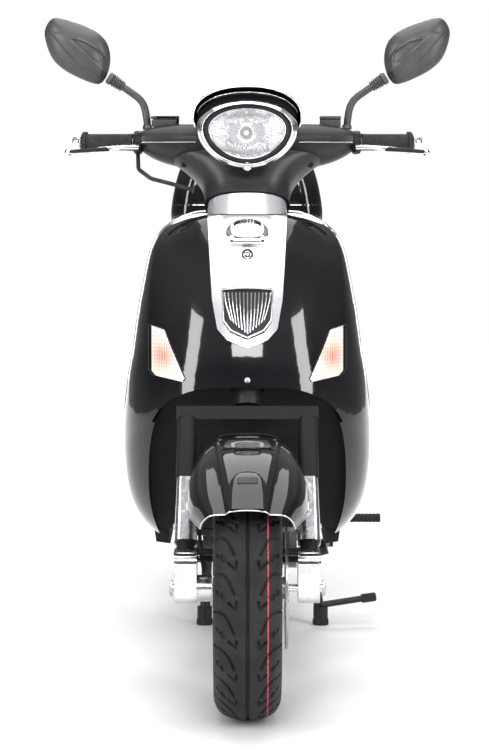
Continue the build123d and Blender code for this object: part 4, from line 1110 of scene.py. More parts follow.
def guard_skin(inner=0.0):
    """One skin of the mudguard as loops from lip to lip."""
    loops = []
    for step in range(57):
        angle = 37.5 + 110.5 * step / 56
        half = guard_section(angle, inner)
        path = smooth_path([(x, depth, 0) for x, depth in half], 3)
        line = [guard_point(angle, p.x, p.y) for p in path]
        loops.append([Vector((-p.x, p.y, p.z)) for p in reversed(line[1:])] + line)
    return loops


outer_skin = guard_skin()
inner_skin = guard_skin(0.003)
guard = rings([list(a) + list(reversed(b)) for a, b in zip(outer_skin, inner_skin)], closed=True, cap=True)
guard_piece = piece("front_mudguard", guard, "steering", gloss_black, 28)
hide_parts("front_fender")
lip = outer_skin[0]
side_lip = [loop[-1] for loop in outer_skin]
bead_path = [loop[0] for loop in reversed(outer_skin)][:-1] + lip + side_lip[1:]
piece("mudguard_bead", tube(bead_path, 0.0013, 8), "steering", chrome, 60)
prow = []
for angle, half, rise in (
    (38, 0.034, 0.002), (44, 0.034, 0.0035), (50, 0.031, 0.0040), (53.5, 0.022, 0.0035), (55.5, 0.008, 0.0)
):
    loop = []
    for k in range(13):
        x = half * (k / 6 - 1)
        loop.append(guard_point(angle, x, 0.0012 * (x / 0.036) ** 2 - rise * (1 - abs(k / 6 - 1) ** 6)))
    prow.append(loop)
piece("mudguard_prow", rings(prow, closed=False, cap=False), "steering", gloss_black, 30)
plinth = []
for angle in (48.4, 48.6, 51.2, 51.4):
    edge = angle in (48.4, 51.4)
    plinth.append(
        [
            guard_point(angle, x, -0.0036 - (0.0 if edge or abs(x) > 0.0172 else 0.0016))
            for x in (-0.0176, -0.0170, 0.0, 0.0170, 0.0176)
        ]
    )
piece("mudguard_plinth", rings(plinth, closed=False, cap=False), "steering", satin_black, 30)

# ---- mirrors -------------------------------------------------------------------------------------
# Moulded black mirrors. Each shell has a long wedge raised on its front with two polished facets, and
# its bent stalk ends in a ribbed rubber boot and a collar screwed into the control block.
# the shell's outline seen from the front, as (x, z), and the wedge on it
MIRROR_OUTLINE = [
    (0.376, 1.2815), (0.394, 1.260), (0.392, 1.2325), (0.380, 1.203), (0.360, 1.183), (0.335, 1.1685),
    (0.305, 1.1560), (0.287, 1.1545), (0.274, 1.170), (0.2675, 1.195), (0.2690, 1.220), (0.278, 1.241),
    (0.2975, 1.2575), (0.335, 1.2730),
]
MIRROR_WEDGE = [
    (0.384, 1.2545), (0.352, 1.2480), (0.318, 1.2380), (0.290, 1.2230), (0.2770, 1.2020),
    (0.2790, 1.1790), (0.2900, 1.1600), (0.3180, 1.1830), (0.352, 1.2160),
]
MIRROR_FACET = [(0.340, 1.2400), (0.312, 1.2325), (0.2880, 1.2150), (0.2840, 1.1960), (0.2920, 1.1960)]
MIRROR_BACK = -0.2765


def round_outline(points, steps):
    """A closed smooth curve through points, evenly divided."""
    points = [Vector((x, z, 0)) for x, z in points]
    size = len(points)
    curve = []
    for k in range(size):
        a, b, c, d = (points[(k + j) % size] for j in (-1, 0, 1, 2))
        for step in range(steps):
            t = step / steps
            curve.append(
                0.5 * (
                    2 * b + (c - a) * t + (
                        2 * a - 5 * b + 4 * c - d
                    ) * t**2 + (3 * b - a - 3 * c + d) * t**3
                )
            )
    return [(p.x, p.y) for p in curve]


def inside_by(x, z, outline):
    """How far a point is inside a closed outline, negative outside."""
    inside = False
    near = 1.0
    for (x0, z0), (x1, z1) in zip(outline, outline[1:] + outline[:1]):
        dx, dz = x1 - x0, z1 - z0
        t = min(1.0, max(0.0, ((x - x0) * dx + (z - z0) * dz) / (dx * dx + dz * dz)))
        near = min(near, math.hypot(x - x0 - t * dx, z - z0 - t * dz))
        if (z0 > z) != (z1 > z) and x < x0 + (z - z0) * dx / dz:
            inside = not inside
    return near if inside else -near


rim_loop = round_outline(MIRROR_OUTLINE, 12)
hub = (0.330, 1.219)
shell_loops = []
for inset, y in (
    (0.94, MIRROR_BACK + 0.0005), (0.965, MIRROR_BACK), (0.99, MIRROR_BACK - 0.001),
    (1.0, MIRROR_BACK - 0.006),
):
    shell_loops.append(
        [(hub[0] + (x - hub[0]) * inset, y, hub[1] + (z - hub[1]) * inset) for x, z in rim_loop]
    )
for step in range(1, 46):
    share = 1 - step / 45.5
    dome = (1 - share**2.6) ** 0.62
    loop = []
    for x, z in rim_loop:
        px, pz = hub[0] + (x - hub[0]) * share, hub[1] + (z - hub[1]) * share
        wedge = min(1.0, max(0.0, inside_by(px, pz, MIRROR_WEDGE) / 0.0022 + 0.5))
        facet = min(1.0, max(0.0, inside_by(px, pz, MIRROR_FACET) / 0.0014 + 0.5))
        ridge = max(0.0, 1 - abs((px - 0.384) * 0.664 + (pz - 1.2545) * -0.748 + 0.012) / 0.018)
        loop.append(
            (
                px,
                MIRROR_BACK - 0.006 - 0.0245 * dome - 0.0032 * wedge - 0.0042 * ridge * wedge + 0.0026 * facet,
                pz,
            )
        )
    shell_loops.append(loop)
mirror_shell = rings(shell_loops, cap=True)
shell_finish = finish(
    "mirror_moulding",
    lambda w: w.noise(35.0, 6).within(0.3, 0.8).tint((0.030, 0.030, 0.031), (0.050, 0.050, 0.052)),
    lambda w: w.noise(40.0, 4) * 0.14 + 0.30,
    bump=lambda w: w.noise(1500.0, 2),
    depth=0.00008,
)
stalk_path = smooth_path(
    [
        (0.194, -0.293, 1.062), (0.196, -0.293, 1.085), (0.2005, -0.292, 1.108),
        (0.2100, -0.2915, 1.124), (0.228, -0.291, 1.138), (0.250, -0.290, 1.1530),
        (0.262, -0.2895, 1.1610),
    ], 8
)
stalk = tube(stalk_path, 0.0072, 20)
stalk.join(
    lathe(
        [(-0.002, 0.0098), (0.012, 0.0098), (0.0135, 0.0088), (0.0135, 0.0)],
        (0.194, -0.293, 1.060),
        (0, 0, 1),
        6,
    )
)
boot_axis = (stalk_path[-1] - stalk_path[-4]).normalized()
profile = []
for k in range(5):
    base = -0.024 + 0.0046 * k
    profile += [
        (base, 0.0080 + 0.0004 * k),
        (base + 0.0008, 0.0104 + 0.0004 * k),
        (base + 0.0030, 0.0104 + 0.0004 * k),
        (base + 0.0036, 0.0080 + 0.0004 * k),
    ]
profile += [(0.000, 0.0105), (0.0015, 0.0122), (0.0080, 0.0125), (0.0105, 0.0110)]
stalk.join(lathe(profile, stalk_path[-1], boot_axis, 28))
mirror_pair = piece("mirror_shells", mirror_shell.both(), "steering", shell_finish, 24)
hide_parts("mirrors")
piece("mirror_stalks", stalk.both(), "steering", shell_finish, 40)
glass_loops = []
for inset, y in (
    (0.935, MIRROR_BACK + 0.0002), (0.925, MIRROR_BACK + 0.0012), (0.5, MIRROR_BACK + 0.0020),
    (0.02, MIRROR_BACK + 0.0022),
):
    glass_loops.append(
        [(hub[0] + (x - hub[0]) * inset, y, hub[1] + (z - hub[1]) * inset) for x, z in rim_loop]
    )
glass = rings(glass_loops, cap=True)
glass_piece = piece("mirror_glass", glass.both(), "steering", silvered, 40)
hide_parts("mirror_glasses")

# ---- levers, grips and handlebar controls --------------------------------------------------------
# Chromed ball-ended levers pivot in black brackets, ribbed rubber grips end in a flange and a bright bar
# weight, and ribbed boots cover the cable ends. Each reservoir has a lid held by two screws.
LEVER_LINE = [
    (0.210, -0.3425, 1.0290), (0.235, -0.3500, 1.0285), (0.262, -0.3530, 1.0275),
    (0.300, -0.3460, 1.0245), (0.343, -0.3340, 1.0205),
]
lever_path = smooth_path(LEVER_LINE, 8)
lever_shape = Shape()
loops = []
for k, point in enumerate(lever_path):
    t = k / (len(lever_path) - 1)
    half_y = 0.0078 - 0.0024 * t
    half_z = 0.0064 - 0.0026 * t
    loops.append(
        [
            Vector((point.x, point.y + half_y * math.cos(a), point.z + half_z * math.sin(a)))
            for a in [2 * math.pi * j / 20 for j in range(20)]
        ]
    )
lever_shape.join(rings(loops))
ball = [
    (0.0074 * math.cos(math.pi * k / 12), 0.0074 * math.sin(math.pi * k / 12)) for k in range(12, -1, -1)
]
lever_shape.join(lathe([(-a, r) for a, r in reversed(ball)], (0.3465, -0.333, 1.0205), (1, 0, 0), 24))
piece("brake_levers", lever_shape.both(), "steering", chrome, 50)
recess = Shape()
slot_loops = []
for k, t in enumerate(np.linspace(0, 1, 9)):
    x = 0.262 + (0.335 - 0.262) * t
    y = float(np.interp(x, [p[0] for p in LEVER_LINE], [p[1] for p in LEVER_LINE]))
    z = float(np.interp(x, [p[0] for p in LEVER_LINE], [p[2] for p in LEVER_LINE]))
    half = 0.0019 * math.sin(math.pi * (0.06 + 0.88 * t)) ** 0.4
    depth = 0.0078 - 0.0024 * (x - 0.210) / 0.133
    slot_loops.append([Vector((x, y - depth - 0.0003, z + half * s)) for s in (-1, -0.3, 0.3, 1)])
recess.join(rings(slot_loops, closed=False, cap=False))
piece("lever_grooves", recess.both(), "steering", black_paint, 60)

SWEEP = math.radians(9)


def on_bar(x):
    """A point on the swept end of the handlebar."""
    return Vector((x, -0.295 + max(0.0, x - 0.195) * math.tan(SWEEP), 1.040))


bar_axis = (on_bar(0.3) - on_bar(0.25)).normalized()
grip_profile = [(0.0, 0.0135), (0.001, 0.0172), (0.006, 0.0172)]
for k in range(14):
    base = 0.008 + k * 0.0058
    grip_profile += [
        (base, 0.0161), (base + 0.0012, 0.0168), (base + 0.0040, 0.0168), (base + 0.0050, 0.0161)
    ]
grip_profile += [
    (0.0910, 0.0168), (0.0925, 0.0212), (0.0975, 0.0214), (0.1000, 0.0200), (0.1030, 0.0150),
    (0.1032, 0.0112),
]
grip_shape = lathe(grip_profile, on_bar(0.2225), bar_axis, 40)
grip_piece = piece("grip_sleeves", grip_shape.both(), "steering", rubber, 30)
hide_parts("grips")
weight = lathe(
    [(0.0, 0.0112), (0.001, 0.0124), (0.011, 0.0120), (0.0150, 0.0100), (0.0165, 0.0060), (0.0168, 0.0)],
    on_bar(0.3262),
    bar_axis,
    32,
)
piece("bar_weights", weight.both(), "steering", chrome, 40)
collars = lathe(
    [
        (-0.002, 0.0225), (0.0, 0.0232), (0.003, 0.0232), (0.004, 0.0215), (0.0052, 0.0215),
        (0.0060, 0.0228), (0.0095, 0.0222), (0.0105, 0.0190),
    ],
    on_bar(0.2095),
    bar_axis,
    36,
)
for seat_x, seat_z in ((0.1760, 1.0020), (0.1220, 0.9970)):
    seat = on_front("cowl_lower", seat_x, seat_z, 0.0)
    if seat:
        collars.join(
            lathe(
                [(-0.001, 0.0062), (0.0012, 0.0062), (0.0016, 0.0045), (-0.0015, 0.0040), (-0.0015, 0.0)],
                seat,
                (0, -1, 0),
                24,
            )
        )
piece("control_collars", collars.both(), "steering", matte_black, 30)
lids = Shape()
for side, half in ((1, 0.0205), (-1, 0.0255)):
    lids.join(slab((side * 0.162 - half, -0.312, 1.0852), (side * 0.162 + half, -0.274, 1.0905), 0.0016))
    lids.join(
        slab(
            (side * 0.162 - half + 0.0015, -0.3125, 1.0700),
            (side * 0.162 + half - 0.0015, -0.3110, 1.0835),
            0.0006,
        )
    )
piece("reservoir_lids", lids, "steering", shell_finish, 40)
lid_screws = Shape()
for side, half in ((1, 0.0205), (-1, 0.0255)):
    for shift in (-1, 1):
        lid_screws.join(
            lathe(
                [(-0.001, 0.0028), (0.0004, 0.0028), (0.0004, 0.0)],
                (side * 0.162 + shift * (half - 0.006), -0.293, 1.0903),
                (0, 0, 1),
                16,
            )
        )
piece("reservoir_screws", lid_screws, "steering", steel, 40)
seam = []
for x in np.linspace(0.100, 0.2045, 22):
    point = on_front("cowl_lower", float(x), 1.0385, 0.0)
    if point:
        seam.append(point + Vector((0, -0.0002, 0.0015)))
if len(seam) > 3:
    piece("cowl_seam_lines", tube(seam, 0.0007, 6).both(), "steering", steel, 60)

# ---- what the last pieces are set against --------------------------------------------------------
# A Feeler finds where a ray meets one CAD node, so that trims and screws lie on its skin.
class Feeler:
    def __init__(self, *names):
        self.trees = []
        for name in names:
            mesh = nodes[name].data
            self.trees.append(
                BVHTree.FromPolygons([v.co for v in mesh.vertices], [p.vertices for p in mesh.polygons])
            )

    def meet(self, start, direction, lift=0.0):
        """The nearest point along the ray, raised by lift along the skin, and the skin's normal."""
        start = Vector(start)
        direction = Vector(direction).normalized()
        best = None
        for tree in self.trees:
            spot, normal, _, gap = tree.ray_cast(start, direction)
            if spot is not None and (best is None or gap < best[2]):
                best = (spot, normal if normal.dot(direction) < 0 else -normal, gap)
        if best is None:
            return None
        return best[0] + best[1] * lift, best[1]

    def belt(self, centre, z, lift, count=96):
        """A closed line round an upright form at one level."""
        line = []
        for step in range(count):
            angle = 2 * math.pi * step / count
            away = Vector((math.cos(angle), math.sin(angle), 0))
            met = self.meet(Vector((centre[0], centre[1], z)) + away * 0.9, -away, lift)
            if met:
                line.append(met[0])
        return line


def screw_head(spot, normal, radius=0.005, height=0.0025):
    """A domed screw head with a hexagon socket."""
    head = lathe(
        [
            (-0.002, radius), (height * 0.4, radius), (height, radius * 0.72), (height, radius * 0.42)
        ], spot, normal, 24, False
    )
    return head.join(
        lathe(
            [(height, radius * 0.42), (height * 0.3, radius * 0.40), (height * 0.3, 0.0)],
            spot,
            normal,
            6,
            False,
        )
    )


# ---- seat ----------------------------------------------------------------------------------------
# A foam saddle in one leather-like cover: blown up by cloth, then pulled in along its sewn lines, with
# a welt round the lower edge and a strap across the step.
SEAT_STEP_Y = 0.345
SEWN_LINES = (0.005, 0.100, 0.195, 0.415, 0.500)
WELT_Z = 0.7755


def leather_grain(w):
    cells = w.node(
        "ShaderNodeTexVoronoi", {"feature": "DISTANCE_TO_EDGE"}, {"Vector": w.place(), "Scale": 420.0}
    )
    return cells.within(0.0, 0.12) * 0.7 + w.noise(900.0, 3) * 0.3


seat_leather = finish(
    "seat_cover_leather",
    lambda w: w.noise(14.0, 6).within(0.3, 0.8).tint((0.011, 0.010, 0.010), (0.026, 0.024, 0.023)),
    lambda w: w.noise(22.0, 5).within(0.2, 0.9) * 0.20 + 0.36,
    bump=leather_grain,
    depth=0.00045,
)


def swell(node, name, pressure=4.0, cap=0.022):
    """A padded copy of a CAD node: shrunk, remeshed, and blown up by cloth inside the node's box."""
    low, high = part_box(node)
    made = bpy.data.objects.new(name, nodes[node].data.copy())
    scene.collection.objects.link(made)
    work = bmesh.new()
    work.from_mesh(made.data)
    bmesh.ops.remove_doubles(work, verts=work.verts, dist=1e-5)
    work.normal_update()
    for vert in work.verts:
        vert.co -= vert.normal * 0.005
    work.to_mesh(made.data)
    work.free()
    remesh = made.modifiers.new("remesh", "REMESH")
    remesh.mode = "VOXEL"
    remesh.voxel_size = 0.006
    made.data = bpy.data.meshes.new_from_object(made.evaluated_get(bpy.context.evaluated_depsgraph_get()))
    made.modifiers.clear()
    rest = np.array([v.co[:] for v in made.data.vertices])
    cloth = made.modifiers.new("cloth", "CLOTH")
    cloth.settings.use_pressure = True
    cloth.settings.uniform_pressure_force = pressure
    cloth.settings.effector_weights.gravity = 0.0
    for moment in range(1, 21):
        scene.frame_set(moment)
    blown = made.evaluated_get(bpy.context.evaluated_depsgraph_get()).to_mesh()
    now = np.array([v.co[:] for v in blown.vertices])
    made.modifiers.clear()
    scene.frame_set(1)
    move = now - rest
    far = np.linalg.norm(move, axis=1, keepdims=True)
    now = rest + move * np.minimum(1.0, cap / np.maximum(far, 1e-9))
    now = np.clip(now, np.array(low) + 0.0005, np.array(high) - 0.0005)
    for vert, place in zip(made.data.vertices, now):
        vert.co = place
    finer = made.modifiers.new("finer", "SUBSURF")
    finer.levels = 1
    finer.render_levels = 1
    made.data = bpy.data.meshes.new_from_object(made.evaluated_get(bpy.context.evaluated_depsgraph_get()))
    made.modifiers.clear()
    return made


def sew(made):
    """Pulls the cover in along its sewn lines and at the step."""
    for vert, normal in zip(made.data.vertices, [n.vector.copy() for n in made.data.vertex_normals]):
        x, y, z = vert.co
        pull = 0.0
        if normal.z > 0.2:
            for line in SEWN_LINES:
                bow = line + 0.5 * x * x
                if abs(x) < 0.098:
                    pull += 0.0030 * math.exp(-(((y - bow) / 0.0042) ** 2)) * min(
                        1.0, (0.098 - abs(x)) / 0.006
                    )
            edge = abs(x) - 0.098
            if -0.03 < y < 0.53:
                pull += 0.0028 * math.exp(-((edge / 0.0040) ** 2))
            pull += 0.0045 * math.exp(-(((y - SEAT_STEP_Y) / 0.0060) ** 2))
        pull += 0.0022 * math.exp(
            -(((z - WELT_Z - 0.004) / 0.0030) ** 2)
        ) * (1.0 if abs(normal.z) < 0.8 else 0.0)
        vert.co -= normal * pull


cushion = swell("seat_cushion", "seat_cushion_cover")
sew(cushion)
cushion.data.materials.clear()
cushion.data.materials.append(seat_leather)
cushion.data.shade_smooth()
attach(cushion, "seat")
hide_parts("seat_cushion")
dress(seat_leather, "seat_cushion")
seat_skin = Feeler("seat_cushion")
welt = tube(seat_skin.belt((0, 0.25), WELT_Z, -0.0005), 0.0021, 10, closed=True)
piece("seat_welt", welt, "seat", rubber, 60)
strap_line = []
for step in range(41):
    angle = math.pi * step / 40
    away = Vector((math.cos(angle), 0, math.sin(angle)))
    met = seat_skin.meet(Vector((0, SEAT_STEP_Y - 0.035, 0.775)) + away * 0.5, -away, 0.0004)
    if met:
        strap_line.append(met[0])
strap_loops = []
for point in strap_line:
    out = Vector((point.x, 0, point.z - 0.775)).normalized() * 0.0022
    wide = Vector((0, 0.011, 0))
    strap_loops.append([point - wide, point - wide * 0.9 + out, point + wide * 0.9 + out, point + wide])
piece("seat_strap", rings(strap_loops), "seat", rubber, 50)

# ---- wheels --------------------------------------------------------------------------------------
# Cast wheels with a dropped well between flanges, five pairs of tapered spokes, a valve and a balance
# weight. The front disc has dark spots for its drilling and is bolted to its carrier.
RIM_FLANGE = 0.1515
RIM_HALF = 0.0375


def cast_wheel(node, body, hub_half):
    """A cast wheel in place of the plain one."""
    centre = middle(node)
    outside = [
        (-RIM_HALF, RIM_FLANGE - 0.002),
        (-RIM_HALF + 0.0015, RIM_FLANGE),
        (-RIM_HALF + 0.005, RIM_FLANGE),
        (-RIM_HALF + 0.007, RIM_FLANGE - 0.010),
        (-0.018, RIM_FLANGE - 0.012),
        (-0.012, RIM_FLANGE - 0.024),
    ]
    inside = [
        (0.016, RIM_FLANGE - 0.030),
        (0.022, RIM_FLANGE - 0.018),
        (RIM_HALF - 0.003, RIM_FLANGE - 0.015),
        (RIM_HALF, RIM_FLANGE - 0.012),
    ]
    barrel = outside + [(-x, r) for x, r in reversed(outside)]
    hollow = inside[::-1] + [(-x, r) for x, r in inside]
    wheel = lathe(barrel + hollow + [barrel[0]], centre, count=96, cap=False)
    hub = [
        (-hub_half, 0.0145), (-hub_half, 0.026), (-hub_half + 0.006, 0.030), (-0.014, 0.031),
        (-0.010, 0.040),
    ]
    wheel.join(lathe(hub + [(-x, r) for x, r in reversed(hub)], centre, cap=False))
    for number in range(5):
        turn = Matrix.Translation(centre) @ Matrix.Rotation(2 * math.pi * number / 5, 4, "X")
        for lean in (-1, 1):
            loops = []
            for share in (0.0, 0.25, 0.5, 0.75, 1.0):
                reach = 0.034 + share * (RIM_FLANGE - 0.030 - 0.032)
                middle_y = lean * (0.006 + 0.017 * share)
                half_y = 0.0085 - 0.003 * math.sin(math.pi * share) + 0.002 * share
                half_x = 0.013 - 0.004 * share
                loop = []
                for step in range(16):
                    angle = 2 * math.pi * step / 16
                    c, s = math.cos(angle), math.sin(angle)
                    x = half_x * math.copysign(abs(c) ** 0.6, c)
                    y = middle_y + half_y * math.copysign(abs(s) ** 0.6, s)
                    loop.append(Vector((x, y, reach)))
                loops.append(loop)
            wheel.join(rings(loops), turn)
    made = piece(node + "_cast", wheel, body, polished_alloy, 40)
    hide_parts(node)
    stem = lathe(
        [(0, 0.0045), (0.010, 0.0042), (0.012, 0.0032), (0.030, 0.0032), (0.031, 0.0)],
        (0, 0, 0),
        (0, 0, -1),
        16,
    )
    turn = Matrix.Translation(centre) @ Matrix.Rotation(math.radians(36), 4, "X")
    seat = Matrix.Translation((0.010, 0, RIM_FLANGE - 0.026))
    piece(node + "_valve", Shape().join(stem, turn @ seat), body, rubber)
    weight = slab((-0.006, -0.016, -0.0025), (0.006, 0.016, 0.0015), 0.001)
    seat = Matrix.Rotation(math.radians(160), 4, "X") @ Matrix.Translation((0.010, 0, RIM_FLANGE - 0.0295))
    piece(
        node + "_weight",
        Shape().join(weight, Matrix.Translation(centre) @ seat),
        body,
        steel,
    )


cast_wheel("front_rim", "front_wheel", 0.0575)
cast_wheel("rear_rim", "rear_wheel", (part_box("rear_rim")[1].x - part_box("rear_rim")[0].x) / 2)

disc_centre = middle("brake_disc")
DISC_FACE = 0.0720
hole_dark = finish(
    "drilled_hole",
    lambda w: w.noise(40.0, 3).tint((0.010, 0.010, 0.010), (0.020, 0.020, 0.020)),
    lambda w: w.noise(40.0, 3) * 0.2 + 0.6,
)
drilled = Shape()
carrier_bolts = Shape()
for number in range(40):
    angle = 2 * math.pi * number / 40
    reach = (0.083, 0.091, 0.099)[number % 3]
    spot = Vector(
        (DISC_FACE, disc_centre.y + reach * math.cos(angle), disc_centre.z + reach * math.sin(angle))
    )
    drilled.join(lathe([(0, 0.0032), (0.0001, 0.0032), (0.0001, 0.0)], spot, (1, 0, 0), 16, False))
    opposite = Vector((2 * disc_centre.x - DISC_FACE - 0.010, spot.y, spot.z))
    drilled.join(lathe([(0, 0.0032), (0.0001, 0.0032), (0.0001, 0.0)], opposite, (-1, 0, 0), 16, False))
for number in range(5):
    angle = 2 * math.pi * (number + 0.5) / 5
    spot = Vector(
        (DISC_FACE, disc_centre.y + 0.024 * math.cos(angle), disc_centre.z + 0.024 * math.sin(angle))
    )
    carrier_bolts.join(screw_head(spot, Vector((1, 0, 0)), 0.0042, 0.0030))
piece("disc_holes", drilled, "front_wheel", hole_dark)
piece("disc_bolts", carrier_bolts, "front_wheel", steel)

# ---- fork ends and caliper -----------------------------------------------------------------------
# A nut on the axle, cover screws, a caliper held by two bolts, its hose, and the thin sensor cable on
# the other side. The two dark bands of each link box have a known fault: the rays that place them also
# meet the other leg, so each band reaches across through the wheel.
fork_skin = Feeler("fork_lowers")
cover_skin = Feeler("fork_covers")
axle = middle("front_rim")
bands = Shape()
fork_screws = Shape()
for side in (-1, 1):
    for level, height in ((0.3005, 0.0045), (0.2870, 0.0030)):
        line = []
        for step in range(48):
            angle = 2 * math.pi * step / 48
            away = Vector((math.cos(angle), math.sin(angle), 0))
            core = Vector((side * 0.112, -0.735, level))
            met = fork_skin.meet(core + away * 0.5, -away, 0.0006)
            if met and abs(met[0].x) > 0.090:
                line.append(met[0])
        if len(line) > 12:
            bands.join(tube(line, height * 0.5, 8, closed=True))
    for y, z in ((-0.750, 0.4290), (-0.700, 0.3420)):
        met = Feeler("fork_covers", "fork_lowers").meet((side * 0.5, y, z), (-side, 0, 0))
        if met:
            fork_screws.join(screw_head(*met, 0.0050, 0.0030))
    met = fork_skin.meet((side * 0.5, axle.y, axle.z), (-side, 0, 0))
    if met:
        nut = [(-0.001, 0.0150), (0.0015, 0.0150), (0.0018, 0.0125)]
        fork_screws.join(lathe(nut, *met, 32, False))
        fork_screws.join(
            lathe([(0.0012, 0.0125), (0.0040, 0.0125), (0.0048, 0.0112), (0.0048, 0.0)], *met, 6, False)
        )
    for y, z in ((-0.700, 0.250), (-0.665, 0.275), (-0.760, 0.305)):
        met = fork_skin.meet((side * 0.5, y, z), (-side, 0, 0))
        if met:
            fork_screws.join(screw_head(*met, 0.0055, 0.0028))
for x in (0.098, 0.116, -0.098, -0.116):
    met = cover_skin.meet((x, -1.2, 0.4300), (0, 1, 0))
    if met:
        fork_screws.join(screw_head(*met, 0.0032, 0.0016))
piece("fork_bands", bands, "steering", matte_black)
piece("fork_screws", fork_screws, "steering", steel)
caliper_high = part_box("brake_caliper")[1]
caliper_skin = Feeler("brake_caliper")
caliper_parts = Shape()
for y, z in ((-0.676, 0.2800), (-0.640, 0.3160)):
    met = caliper_skin.meet((0.5, y, z), (-1, 0, 0))
    if met:
        caliper_parts.join(screw_head(*met, 0.0075, 0.0014))
piece("caliper_bolts", caliper_parts, "steering", steel)
hose = smooth_path(
    [
        (0.080, caliper_high.y - 0.012, caliper_high.z - 0.012),
        (0.080, caliper_high.y - 0.006, caliper_high.z + 0.018),
        (0.072, caliper_high.y - 0.030, caliper_high.z + 0.070),
        (0.060, caliper_high.y - 0.060, caliper_high.z + 0.110),
    ],
    10,
)
piece("caliper_hose", tube(hose, 0.0042, 12), "steering", rubber)
sensor = smooth_path(
    [
        (-0.084, -0.700, 0.470), (-0.088, -0.7040, 0.400), (-0.0865, -0.7060, 0.330),
        (-0.076, -0.7180, 0.268),
    ], 10
)
piece("sensor_cable", tube(sensor, 0.0026, 10), "steering", rubber)

# ---- floor and knee panel ------------------------------------------------------------------------
# Moulded rubber ribs with screw heads on the platform, a glove door with its key barrel, and a bag hook.
floor_skin = Feeler("floorboard")
floor_low, floor_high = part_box("floorboard")
floor_ribs = Shape()
floor_screws = Shape()
for lane in range(-6, 7):
    x = lane * 0.0235
    line = []
    for step in range(21):
        y = floor_low.y + 0.030 + (floor_high.y - floor_low.y - 0.060) * step / 20
        met = floor_skin.meet((x, y, 0.6), (0, 0, -1))
        if met and met[1].z > 0.9:
            line.append(met[0] + Vector((0, 0, -0.0008)))
    if len(line) > 4:
        floor_ribs.join(tube(line, 0.0042, 10, flat=0.55))
for x in (-0.158, 0.158):
    for y in (floor_low.y + 0.036, floor_high.y - 0.036):
        met = floor_skin.meet((x, y, 0.6), (0, 0, -1))
        if met:
            floor_screws.join(screw_head(*met, 0.0055, 0.0022))
piece("floor_ribs", floor_ribs, "frame", rubber)
piece("floor_screws", floor_screws, "frame", steel)
knee_skin = Feeler("knee_panel")


def on_knee(points, lift):
    """Points of the rear view laid on the knee panel."""
    line = []
    for x, z in points:
        met = knee_skin.meet((x, 0.3, z), (0, -1, 0), lift)
        if met:
            line.append(met[0])
    return line


door = [
    (
        0.120 * math.copysign(abs(math.cos(a)) ** 0.4, math.cos(a)),
        0.690 + 0.078 * math.copysign(abs(math.sin(a)) ** 0.4, math.sin(a)),
    )
    for a in (2 * math.pi * k / 72 for k in range(72))
]
piece("glove_door_gap", tube(on_knee(door, 0.0), 0.0015, 8, closed=True), "frame", hole_dark)
grip_line = smooth_path([(x, 0, z) for x, z in ((-0.030, 0.742), (0.0, 0.738), (0.030, 0.742))], 8)
piece(
    "glove_door_lip",
    tube(on_knee([(p.x, p.z) for p in grip_line], 0.001), 0.0035, 12),
    "frame",
    satin_black,
)
key_parts = Shape()
met = knee_skin.meet((-0.150, 0.3, 0.800), (0, -1, 0))
if met:
    key_parts.join(
        lathe(
            [(-0.001, 0.0165), (0.004, 0.0160), (0.005, 0.0130), (0.003, 0.0110), (0.003, 0.0)],
            *met,
            40,
            False,
        )
    )
    key_parts.join(slab((-0.1515, met[0].y + 0.0025, 0.7945), (-0.1485, met[0].y + 0.0034, 0.8055), 0.0003))
met = knee_skin.meet((0.0, 0.3, 0.690), (0, -1, 0))
if met:
    key_parts.join(
        lathe([(-0.001, 0.0090), (0.003, 0.0088), (0.0035, 0.0060), (0.002, 0.0)], *met, 32, False)
    )
piece("key_barrels", key_parts, "frame", chrome)
met = knee_skin.meet((0.0, 0.3, 0.836), (0, -1, 0))
if met:
    root = met[0]
    hook = smooth_path(
        [
            root + Vector(step)
            for step in (
                (0, -0.002, 0), (0, 0.020, -0.002), (0, 0.032, -0.016), (0, 0.024, -0.030),
                (0, 0.012, -0.024),
            )
        ],
        8,
    )
    piece("bag_hook", tube(hook, 0.0040, 14), "frame", matte_black)

# ---- instrument ----------------------------------------------------------------------------------
# An oval dial in a chromed ring: pale ticks on a dark face, a needle, a display window and small lamps.
dial_skin = Feeler("instrument_dial")
dial_middle = middle("instrument_dial")
dial_spot, dial_normal = dial_skin.meet(dial_middle + Vector((0, 0, 0.5)), (0, 0, -1))
dial_right = Vector((1, 0, 0))
dial_up = dial_normal.cross(dial_right).normalized()
if dial_up.z < 0:
    dial_up = -dial_up


def on_dial(x, up, lift=0.0):
    """A point of the dial's face."""
    return dial_spot + dial_right * x + dial_up * up + dial_normal * lift


ring_profile = [(1.000, 0.0), (1.000, 0.0030), (0.975, 0.0042), (0.945, 0.0030), (0.940, 0.0004)]
ring_loops = []
for grow, lift in ring_profile:
    ring_loops.append(
        [
            on_dial(0.0655 * grow * math.cos(a), 0.0236 * grow * math.sin(a), lift)
            for a in (2 * math.pi * k / 96 for k in range(96))
        ]
    )
piece("dial_ring", rings(ring_loops, cap=False), "steering", chrome, 50)
ticks = Shape()
for number in range(29):
    angle = math.radians(200 - 220 * number / 28)
    inner = 0.80 if number % 4 == 0 else 0.87
    a = on_dial(0.0600 * inner * math.cos(angle), 0.0205 * inner * math.sin(angle), 0.0004)
    b = on_dial(0.0600 * 0.94 * math.cos(angle), 0.0205 * 0.94 * math.sin(angle), 0.0004)
    ticks.join(tube([a, b], 0.0007 if number % 4 == 0 else 0.0004, 6))
pale_ink = finish(
    "dial_ink",
    lambda w: w.noise(40.0, 3).tint((0.72, 0.73, 0.72), (0.84, 0.85, 0.84)),
    lambda w: w.noise(40.0, 3) * 0.1 + 0.4,
)
piece("dial_ticks", ticks, "steering", pale_ink)
needle = tube([on_dial(0.0, -0.004, 0.0012), on_dial(-0.034, 0.009, 0.0012)], [0.0013, 0.0005], 8)
